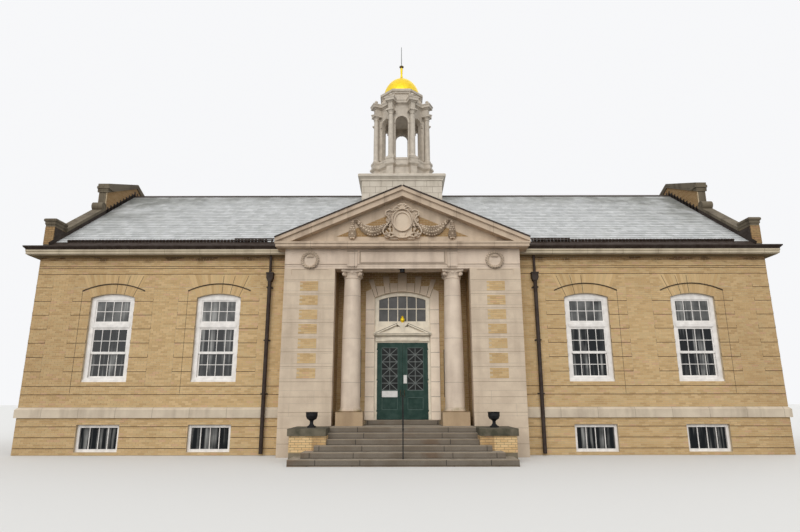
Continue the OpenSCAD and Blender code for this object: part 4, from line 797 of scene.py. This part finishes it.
# the coping of each raised middle rises less steeply than the brick under it, over moulded ends
CAP_INNER = (CROWN_FOOT + CROWN_LEAN * CROWN_HALF + 0.09, 11.44)
CAP_OUTER = (10.22, 10.52)
cap_parts = []
for side in (-1, 1):
    for turn in (math.pi, 0):
        cap = block((side * (ROOF_HALF - 0.06), 0, 0), (side * (SIDE + 0.05), CROWN_HALF + 0.06, 0.10))
        for vertex in cap.data.vertices:
            heights = CAP_OUTER if vertex.co.y > 0.1 else CAP_INNER
            vertex.co.z = heights[vertex.co.z > 0.05]
        moulding = block((side * (ROOF_HALF - 0.115), CROWN_HALF - 0.30, 10.30),
                         (side * (SIDE + 0.065), CROWN_HALF + 0.10, 10.40))
        cap_parts += [placed(cap, turn=turn), placed(moulding, turn=turn)]
for side in (-1, 1):
    for end in (-1, 1):
        cap_parts.append(block((side * (ROOF_HALF + 0.03), end * CROWN_HALF, 9.25),
                               (side * (SIDE - 0.012), end * (CROWN_HALF + 0.01), 10.26)))
finish(placed(join("crown_caps", cap_parts), (0, MIDDLE, 0)), weathered_stone)

# WINDOWS
# White painted softwood: an arched fixed light over a pair of sashes, each divided into small panes
# by moulded bars. The glass is painted near black as shade of the unlit room, with gathered curtains
# painted on it. The basement windows have wired panes.
window_paint = painted_finish("window_paint", (0.72, 0.69, 0.66), 0.4, 0.25)
cover(window_paint, "window_frames")

# the pane is painted near black as shade of the unlit room behind it; pale curtain folds and brighter patches
# in the arched top light are painted on it too
pane, shader, where = new_material("window_pane", 0.08, shine=0.22)
folds = times(clouds(where, 8, 3, 0.50, 0.68, (1, 1, 0.05)), clouds(where, 1.3, 3, 0.30, 0.62))
top_light = times(ramp(axes(where)[2], 4.15, 4.30), clouds(where, 2.0, 3, 0.25, 0.7))
light = plus(folds, times(top_light, 0.45), True)
set_colour(shader, blend(light, (0.010, 0.012, 0.014), (0.30, 0.30, 0.29)))
raise_bumps(shader, clouds(where, 1.2, 2), 0.004)
cover(pane, "window_glass")
# the fanlight's glass is painted dark grey as shade of the hall behind it
cover(two_tone("transom_pane", 0.1, (1.8, 4), (0.045, 0.044, 0.042), (0.085, 0.082, 0.080), shine=0.2),
      "transom_glass")

BAR = 0.010
LIGHT_HALF = 0.555
LIGHTS = ((4.345, 5.025, 0.112, 0.146), (3.3025, 4.065, 0.112, 0.146), (2.515, 3.2575, 0.152, 0.186))
bars = []
for low, high, near, far in LIGHTS:
    for x in (-LIGHT_HALF / 2, 0, LIGHT_HALF / 2):
        bars.append(block((x - BAR, near, low), (x + BAR, far, high)))
    middle = (low + high) / 2
    bars.append(block((-LIGHT_HALF, near + 0.001, middle - BAR), (LIGHT_HALF, far - 0.001, middle + BAR)))
for x in (-0.305, 0, 0.305):
    bars.append(block((x - 0.012, 0.12, 0.19), (x + 0.012, 0.149, 0.86)))
bars.append(block((-0.56, 0.105, 3.240), (0.56, 0.13, 3.322)))
bar_pattern = join("bar_pattern", bars)
window_places = []
for windows, y, turn in ((FRONT_WINDOWS, FRONT, 0), (BACK_WINDOWS, BACK, math.pi)):
    window_places += [((side * x, y, 0), turn) for x in windows for side in (-1, 1)]
for y in GABLE_WINDOWS:
    for side in (-1, 1):
        window_places += [((side * SIDE, MIDDLE + away, 0), side * math.pi / 2) for away in (-y, y)]
bar_parts = [placed(copy_of(bar_pattern), *place) for place in window_places]
finish(join("window_bars", bar_parts), window_paint)
discard(bar_pattern)

cover(two_tone("oak_boards", 0.5, (4, 4, 0.3, 0.7, (0.1, 1, 1)), (0.20, 0.12, 0.07), (0.36, 0.24, 0.14)),
      "hall_floor")

# PORTICO
# Smooth limestone in large blocks: piers with brick panels, round columns in drums, a beam course
# with a blank tablet, and a pediment. The laurel wreaths, the fruit garlands and the leaves round the
# shield are carved from the blocks. Brown copper covers the upper edges of the pediment.
over_door = (lambda where: ramp(axes(where)[2], 4.9, 5.9), (0.52, 0.47, 0.41))
cover(stone_finish("pier_stone", 0.30, (1.0, 0.92, 0.81), rows=(0.400, 0.474)), "portico_piers")
cover(stone_finish("door_stone", 0.20, (1.36, 1.30, 1.22), darkening=over_door), "doorway_stone")
cover(stone_finish("column_stone", 0.30, (1.12, 1.05, 0.98), rows=(0.855, 1.42), moss=1.37),
      "column_bases", "column_shafts", "column_capitals")
cover(stone_finish("beam_stone", 0.40, (1.07, 0.99, 0.92), (1.60, 3.20)), "entablature")
cover(stone_finish("cornice_stone", 0.60, (0.92, 0.82, 0.71), (0.61, 1.22)), "portico_cornice",
      "raking_cornice")
cover(stone_finish("field_stone", 0.45, (0.94, 0.85, 0.74)), "tympanum")
carved_stone = stone_finish("carved_stone", 0.45, (1.0, 0.92, 0.82))
cover(carved_stone, "cartouche")
# the garlands' ground behind the carved fruit and leaves is painted dark as shade in the crevices
cover(stone_finish("carved_crevice_shade", 0.75, (0.46, 0.39, 0.31)), "garlands")
wreath_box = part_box("wreath_roundels")
WREATH_X = 3.09
WREATH_Z = (wreath_box[0].z + wreath_box[1].z) / 2
# each roundel is pale in the middle and painted dark beyond 0.205 m as shade under the wreath's leaves
roundel_ring_shade, shader, where = new_material("roundel_with_ring_shade", 0.9)
across, _, up = axes(where)
aside, rise = minus(unsigned(across), WREATH_X), minus(up, 6.292)
radius = root(plus(times(aside, aside), times(rise, rise)))
pale = blend(clouds(where, 6), (0.59, 0.485, 0.385), (0.67, 0.56, 0.455))
set_colour(shader, blend(above(radius, 0.205), pale, (0.34, 0.28, 0.22)))
cover(roundel_ring_shade, "wreath_roundels")
cream_paint = painted_finish("cream_paint", (0.66, 0.59, 0.47), 0.45, 0.3)
cover(cream_paint, "door_frame", "door_hood")
# the porch ceiling's paint is darkened to olive as painted shade
cover(painted_finish("shaded_ceiling_paint", (0.26, 0.21, 0.12), 0.7, 0.3), "porch_ceiling")

bpy.ops.object.select_all(action="DESELECT")
bpy.ops.mesh.primitive_ico_sphere_add(subdivisions=2, radius=1)
pip = bpy.context.object


def carve(x, z, out, size, lean=0.0):
    """One carved leaf or fruit on the face at y = 0: its middle, height out, half sizes and lean."""
    made = copy_of(pip)
    made.data.transform(Matrix.Diagonal((*size, 1)))
    return placed(made, (x, -out, z), lean, "Y")


def spray(z, wide, tall, turns, out, size, lean=0.0):
    """Carved leaves spread round a middle at a height, each turned with its place."""
    return [carve(wide * math.sin(turn), z + tall * math.cos(turn), out, size, turn + lean) for turn in turns]


leaves = []
for ring, lean, out, ahead in ((0.222, 0.5, 0.056, 0), (0.286, -0.5, 0.052, 0), (0.254, 0.0, 0.070, 0.5)):
    turns = [math.pi * (number + ahead) / 10 for number in range(20)]
    leaves += spray(0, ring, ring, turns, out, (0.040, 0.026, 0.019), lean)
for side in (-1, 1):
    for number in range(3):
        x, z = side * 0.06 * number, 0.012 * number - 0.265
        leaves.append(carve(x, z, 0.085, (0.035, 0.03, 0.026), side * 0.4))
leaves += spray(0.05, 0.11, 0.09, [0.45 * n for n in range(-2, 3)], 0.058, (0.020, 0.024, 0.050))
wreath = join("wreath_leaves", leaves)
pair = [placed(copy_of(wreath), (side * WREATH_X, PIER_FACE, WREATH_Z)) for side in (-1, 1)]
finish(join("wreath_leaves", pair), carved_stone)
discard(wreath)

# fruit and leaves in three rows along each garland, round each loop and down each end drop
GARLAND_FOOT = 7.30
fruit = []
for number in range(13):
    t = number / 6 - 1
    x, z = 0.995 + 0.475 * t, GARLAND_FOOT + (0.25 + 0.03 * t) * t * t
    width = 0.045 + 0.095 * (1 - t * t)
    for row in (-1.0, -0.33, 0.33, 1.0) if width > 0.08 else (-0.6, 0.6):
        size = 0.034 + 0.010 * math.sin(12.9 * number + 5.3 * row)
        aside = x + 0.020 * math.sin(7 * number + 3 * row)
        fruit.append(carve(aside, z + row * width, 0.118 - 0.045 * row * row, (size, 0.045, size), row))
for number in range(6):
    turn = math.pi * number / 5
    x, z = 1.58 + 0.12 * math.cos(turn), 7.60 + 0.11 * math.sin(turn)
    fruit.append(carve(x, z, 0.085, (0.036, 0.035, 0.026), turn + math.pi / 2))
for number in range(9):
    share = number / 8
    width = 0.021 + 0.0525 * share - (0.035 if number == 8 else 0)
    for row in (-1, 1) if number % 2 else (-1.3, 0, 1.3):
        size = 0.034 + 0.008 * math.sin(7.7 * number + 3 * row)
        x, z = 1.694 + row * width, 7.62 - 0.56 * share
        fruit.append(carve(x, z, 0.10 - 0.02 * abs(row), (size, 0.045, size)))
# leaves that curl round the shield and hang between its feet
for x, z, length, lean in (
        (0.36, 7.22, 0.10, 0.9), (0.42, 7.35, 0.09, 0.3), (0.40, 7.50, 0.09, -0.3),
        (0.44, 7.82, 0.08, 0.2), (0.36, 8.02, 0.09, 1.0), (0.24, 8.06, 0.08, 1.3),
        (0.12, 7.08, 0.08, 0.6), (0.25, 7.10, 0.08, 1.1), (0.05, 8.16, 0.06, 0.2)):
    for step in (-1, 0, 1):
        size = (0.020, 0.024, length * (1 - 0.25 * abs(step)))
        fruit.append(carve(x + 0.028 * step, z, 0.105 - 0.012 * abs(step), size, lean + 0.25 * step))
fruit += spray(8.04, 0.10, 0.10, (-1.0, -0.5, 0, 0.5, 1.0), 0.13, (0.030, 0.035, 0.085))
garland = join("garland_carving", fruit)
other = placed(copy_of(garland), mirror=True)
garland = placed(join("garland_carving", [garland, other]), (0, CARVE_FACE, 0))
finish(garland, carved_stone)
discard(pip)

# the moulded ring, the rolled crest and the scrolls of the shield
ring = [(0.335 * math.sin(math.pi * n / 16), -0.155, 7.675 + 0.395 * math.cos(math.pi * n / 16))
        for n in range(33)]
crest = [(-0.15, -0.13, 8.20), (-0.07, -0.14, 8.235), (0.07, -0.14, 8.235), (0.15, -0.13, 8.20)]
scrolls = [tube(ring, 0.020), tube(crest, 0.032)]
for thick, line in (
        (0.028, ((0.32, 7.99), (0.44, 8.04), (0.55, 7.98), (0.58, 7.87), (0.51, 7.81), (0.45, 7.86),
            (0.50, 7.92))),
        (0.026, ((0.49, 7.80), (0.43, 7.70), (0.45, 7.59), (0.53, 7.50), (0.61, 7.40), (0.66, 7.28),
            (0.62, 7.17), (0.53, 7.16), (0.50, 7.24), (0.56, 7.29))),
        (0.028, ((0.50, 7.13), (0.38, 7.07), (0.25, 7.12), (0.12, 7.06), (0.0, 7.05))),
        (0.024, ((0.08, 8.10), (0.19, 8.15), (0.29, 8.10), (0.30, 8.02), (0.24, 8.01)))):
    for side in (-1, 1):
        scrolls.append(tube([(side * x, -0.14, z) for x, z in line], thick))
finish(placed(join("shield_scrolls", scrolls), (0, CARVE_FACE, 0)), carved_stone)

# brown copper over the upper edges of the pediment, turned down as a drip at the front
edge_parts = []
for mirrored in (True, False):
    strip = join("strip", [block((0, -0.725, 0.0), (-4.62, 0.0, 0.022)),
                           block((0, -0.735, -0.022), (-4.62, -0.717, 0.026))])
    placed(strip, (4.262, FRONT - 0.3, 7.008), math.atan(PORT_PITCH), "Y", mirrored)
    edge_parts.append(cut(strip, ((0, 0, 0), (1 if mirrored else -1, 0, 0))))
finish(join("pediment_edge", edge_parts), gutter_paint)


def joint(left, right, height, half=0.006, face=0):
    """A thin level joint on a face of stone."""
    return block((left, face - 0.0015, height - half), (right, face + 0.002, height + half))


# the joints of the stone doorway: level across the jambs, leaning between the stones of the arch
STONE_FACE = FRONT + 0.54
ARCH_R = 2.3452
ARCH_HALF = 0.97
joint_strips = []
for side in (-1, 1):
    for number in range(8):
        joint_strips.append(joint(side * 0.975, side * 1.275, 4.80 - 0.494 * number, face=STONE_FACE))
    for share, top in ((0.16, 5.75), (0.44, 5.75), (0.63, 5.64), (0.88, 5.64), (1.0, 5.54)):
        foot = 5.45 - ARCH_R + math.sqrt(ARCH_R ** 2 - (ARCH_HALF * share) ** 2)
        lean = math.radians(19 * share * share)
        strip = block((-0.008, -0.0015, 0.01), (0.008, 0.002, (top - foot) / math.cos(lean)))
        joint_strips.append(placed(strip, (side * ARCH_HALF * share, STONE_FACE, foot), side * lean, "Y"))
finish(join("doorway_joints", joint_strips), joint_shade_and_dirt)

# mouldings of the painted hood over the doors, with painted shadow in the quirks under them
HOOD_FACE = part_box("door_hood")[0].y
hood_parts, quirk_shadows = [], []
for parts, near, low, high in (
        (hood_parts, -0.022, -0.026, 0.004), (quirk_shadows, -0.003, -0.040, -0.026),
        (quirk_shadows, -0.002, -0.094, -0.082)):
    for mirrored in (False, True):
        strip = block((0, near, low), (0.872, 0.003, high))
        parts.append(placed(strip, (0.2, HOOD_FACE, 4.35), math.atan(0.4375), "Y", mirrored))
for parts, half, face, near, low, high in (
        (hood_parts, 1.0, HOOD_FACE, -0.02, 3.962, 3.994), (quirk_shadows, 0.99, HOOD_FACE, -0.002, 3.948, 3.962),
        (quirk_shadows, 0.975, HOOD_FACE + 0.024, -0.002, 3.888, 3.903)):
    parts.append(block((-half, face + near, low), (half, face + 0.002, high)))
finish(join("hood_mouldings", hood_parts), cream_paint)
# dark strips under the hood's mouldings: painted shadow
finish(join("hood_quirk_shadows", quirk_shadows), painted_finish("quirk_shadow", (0.16, 0.125, 0.075), 0.9, 0.3))

# the joints of the piers, along the feet and heads of the brick panels and beside them
joint_strips = []
for side in (-1, 1):
    for height in PANEL_ROWS + [foot + 0.32 for foot in PANEL_ROWS] + [2.02, 1.62, 1.24]:
        joint_strips.append(joint(side * 2.26, side * 3.93, height, 0.005, PIER_FACE))
    for x, top in ((2.8125, 2.02), (3.5925, 1.62)):
        joint_strips.append(block((side * x - 0.005, PIER_FACE - 0.0015, top - 0.40),
                                  (side * x + 0.005, PIER_FACE + 0.002, top)))
joint_mortar = painted_finish("joint_mortar", (0.43, 0.36, 0.28), 0.9, 0.4)
finish(join("pier_joints", joint_strips), joint_mortar)

# DOORWAY AND DOORS
# A painted frame and hood inside the stone arch carry a pair of dark green doors with moulded
# panels. Crossed and diagonal bars divide their glass into three squares each. A blank white plate
# and a blank notice are fixed to them. The pineapple on the hood is gilded.
cover(painted_finish("green_paint", (0.012, 0.038, 0.029), 0.5, 0.2, 0.15), "door_leaf_left",
      "door_leaf_right")
# the doors' glass is painted near black as shade of the dark hall behind it
cover(two_tone("door_pane", 0.1, (3,), (0.003, 0.004, 0.004), (0.012, 0.014, 0.013), shine=0.08),
      "door_glass_left", "door_glass_right")
cover(two_tone("polished_brass", 0.3, (25,), (0.05, 0.04, 0.03), (0.12, 0.09, 0.05), 1.0),
      "door_handle_left", "door_handle_right")
DOOR_FACE = FRONT + 0.66
GLASS = (0.168, 0.709)
GLASS_MIDDLE = (GLASS[0] + GLASS[1]) / 2
SQUARE = ((GLASS[1] - GLASS[0]) / 2, 0.24)
bars = []
for number in range(3):
    foot = 2.05 + 2 * SQUARE[1] * number
    middle = foot + SQUARE[1]
    bars += [block((GLASS[0], 0.016, foot - 0.013), (GLASS[1], 0.044, foot + 0.013)),
             block((GLASS_MIDDLE - 0.011, 0.018, foot), (GLASS_MIDDLE + 0.011, 0.042, middle + SQUARE[1])),
             block((GLASS[0], 0.019, middle - 0.011), (GLASS[1], 0.041, middle + 0.011))]
    for side in (-1, 1):
        slant = block((-math.hypot(*SQUARE), 0.020, -0.011), (math.hypot(*SQUARE), 0.040, 0.011))
        turn = side * math.atan2(SQUARE[1], SQUARE[0])
        bars.append(placed(slant, (GLASS_MIDDLE, 0, middle), turn, "Y"))
bars.append(block((GLASS[0], 0.016, 3.477), (GLASS[1], 0.044, 3.49)))
lattice = cut_sides(join("lattice", bars), *GLASS)
# mouldings round the glass and round the lower panel, and the panel's sunk edge, in a lighter green than the
# doors as painted highlight
trim = []
for left, right, low, high, wide in ((0.150, 0.727, 2.032, 3.508, 0.018), (*GLASS, 1.40, 1.82, 0.022)):
    for a, b, foot, head in (
            (left, right, low, low + wide), (left, right, high - wide, high),
            (left, left + wide, low, high), (right - wide, right, low, high)):
        trim.append(block((a, -0.010, foot), (b, 0.012, head)))
trim = join("trim", trim)
# a lighter copy of the door green: painted highlight on the mouldings
moulding_green_highlight = painted_finish("moulding_green_highlight", (0.030, 0.070, 0.056), 0.6, 0.2)
lattice_paint = painted_finish("lattice_paint", (0.105, 0.12, 0.115), 0.6, 0.2)
for leaf, mirrored in (("right", False), ("left", True)):
    for shape, part, material in ((lattice, "bars", lattice_paint), (trim, "mouldings", moulding_green_highlight)):
        made = placed(copy_of(shape), (0, DOOR_FACE, 0), mirror=mirrored)
        finish(renamed(made, f"door_{leaf}_{part}"), material, f"door_{leaf}")
discard(lattice, trim)
notice_paper = two_tone("notice_paper", 0.6, (12,), (0.60, 0.59, 0.57), (0.68, 0.67, 0.65))
for name, leaf, low, high in (
        ("door_plate", "left", (-0.705, -0.004, 1.825), (-0.172, 0.001, 2.03)),
        ("door_notice", "right", (0.035, -0.003, 2.28), (0.165, 0.001, 2.56))):
    made = renamed(placed(block(low, high), (0, DOOR_FACE, 0)), name)
    finish(made, notice_paper, f"door_{leaf}")

GOLD = ((0.88, 0.60, 0.008), (0.97, 0.72, 0.016))
gold_leaf, shader, where = new_material("gold_leaf", 0.42, 0.45)
set_colour(shader, blend(clouds(where, 7, 4), *GOLD))
raise_bumps(shader, clouds(where, 30, 3), 0.002)
cover(gold_leaf, "hood_pineapple", "dome")
# the finial's rod over the gilded foot is bare steel, and rings of bronze part them
rod_metal, shader, where = new_material("finial_metal", 0.5, 0.4)
up = axes(where)[2]
steel = blend(clouds(where, 9), (0.20, 0.21, 0.21), (0.34, 0.35, 0.34))
face = blend(above(up, 17.53), blend(clouds(where, 7), *GOLD), steel)
ring = larger(times(above(up, 17.46), below(up, 17.60)), below(up, 16.93))
set_colour(shader, blend(ring, face, (0.13, 0.09, 0.03)))
cover(rod_metal, "finial")

# STEPS
# Granite treads worn at their middles, brick cheek blocks with stone caps, cast-iron urns and rail.
granite, shader, where = new_material("worn_granite", 0.85)
across, _, up = axes(where)
face = blend(clouds(where, 90, 3, 0.3, 0.7), (0.135, 0.113, 0.088), (0.205, 0.174, 0.138))
face = stained(face, clouds(where, 1.6, 4, 0.4, 0.7), (0.75, 0.70, 0.64))
risers = steps_up(up, 0.175, 0.152)
every_other = times(fraction(divided(whole(risers), 2)), 0.42)
aside = minus(plus(unsigned(across), every_other), 1.36)
joints = larger(below(unsigned(aside), 0.010), below(unsigned(minus(aside, 1.2)), 0.010))
face = blend(joints, face, (0.035, 0.028, 0.022))
face = stained(face, times(clouds(where, 1.1, 4, 0.58, 0.70), 0.6), (0.72, 0.50, 0.34))
spot = fraction(risers)
# painted shadow at the foot of each riser
face = stained(face, ramp(spot, 0.16, 0.06), (0.30, 0.27, 0.23))
# painted highlight along the nosing at the top of each riser
face = stained(face, ramp(spot, 0.86, 0.92), (1.7, 1.62, 1.5))
# upward faces take a lighter granite as painted light on the treads
tread = blend(clouds(where, 5, 4), (0.235, 0.20, 0.155), (0.33, 0.285, 0.225))
set_colour(shader, blend(above(facing_up(where), 0.7), face, tread))
raise_bumps(shader, clouds(where, 150, 3), 0.001)
cover(granite, "steps")

# the cheek blocks' stone foot and cap are dark with moss, and the band between is mortar
cheek_stone, shader, where = new_material("mossy_stone", 0.95)
up = axes(where)[2]
moss = blend(clouds(where, 3.5, 5, 0.35, 0.6), (0.15, 0.13, 0.092), (0.055, 0.052, 0.032))
pale = blend(clouds(where, 2.5, 4), (0.15, 0.125, 0.085), (0.24, 0.20, 0.14))
face = blend(above(up, CHEEK_ROWS[1]), pale, moss)
set_colour(shader, blend(ramp(up, 0.02, 0.16), (0.13, 0.11, 0.08), face))
raise_bumps(shader, clouds(where, 60, 5), 0.003)
cover(cheek_stone, "cheek_blocks")
black_iron = painted_finish("black_iron", (0.006, 0.006, 0.007), 0.55, 0.2, 0.2)
cover(black_iron, "urns", "handrail")

# PORCH FITTINGS
# A round floodlight of black iron under the beam, and a glazed notice case with a black frame on the
# brickwork at each side of the doorway, empty.
fittings = []
for radius, low, high in ((0.095, 5.985, 6.0), (0.08, 5.93, 5.985), (0.09, 5.905, 5.93)):
    fittings.append(tube([(0, FRONT - 0.56, z) for z in (low, high)], radius, 4))
for side in (-1, 1):
    for x, z, wide, tall, out in (
            (1.42, 1.82, 0.04, 1.6, 0.06), (1.80, 1.82, 0.04, 1.6, 0.06), (1.42, 1.82, 0.42, 0.05, 0.06),
            (1.42, 3.37, 0.42, 0.05, 0.06), (1.44, 1.84, 0.38, 1.56, 0.025)):
        fittings.append(block((side * x, PORCH_BACK - out, z), (side * (x + wide), PORCH_BACK, z + tall)))
finish(join("porch_fittings", fittings), black_iron)

# CUPOLA
# A belfry of painted wood over the ridge, under a gilded dome. Its square base is boarded and
# grooved like blocks of stone, and its joints and drips have darkened.
cover(painted_finish("cupola_paint", (0.47, 0.415, 0.345), 0.6, 0.4), "cupola_pedestal", "belfry_arcade",
      "belfry_columns", "cupola_entablature")
BOARD_W = 0.49
ROW_FOOT, ROW_H = 10.93, 0.28
base_paint, shader, where = new_material("grooved_boards", 0.6)
across, back, up = axes(where)
row = whole(steps_up(up, ROW_FOOT, ROW_H))
along = plus(plus(across, back), times(row, BOARD_W / 2))
joints = larger(near_joint(along, 0, BOARD_W), near_joint(up, ROW_FOOT, ROW_H))
joints = times(joints, below(up, 10.92))
face = blend(clouds(where, 3, 4), (0.50, 0.44, 0.36), (0.57, 0.51, 0.425))
face = stained(face, times(clouds(where, 4, 4, 0.5, 0.75, (1, 1, 0.2)), 0.4), (0.50, 0.46, 0.40))
set_colour(shader, blend(times(joints, 0.95), face, (0.22, 0.17, 0.12)))
raise_bumps(shader, minus(1.0, joints), 0.006)
cover(base_paint, "cupola_base")

discard(brick_pair)
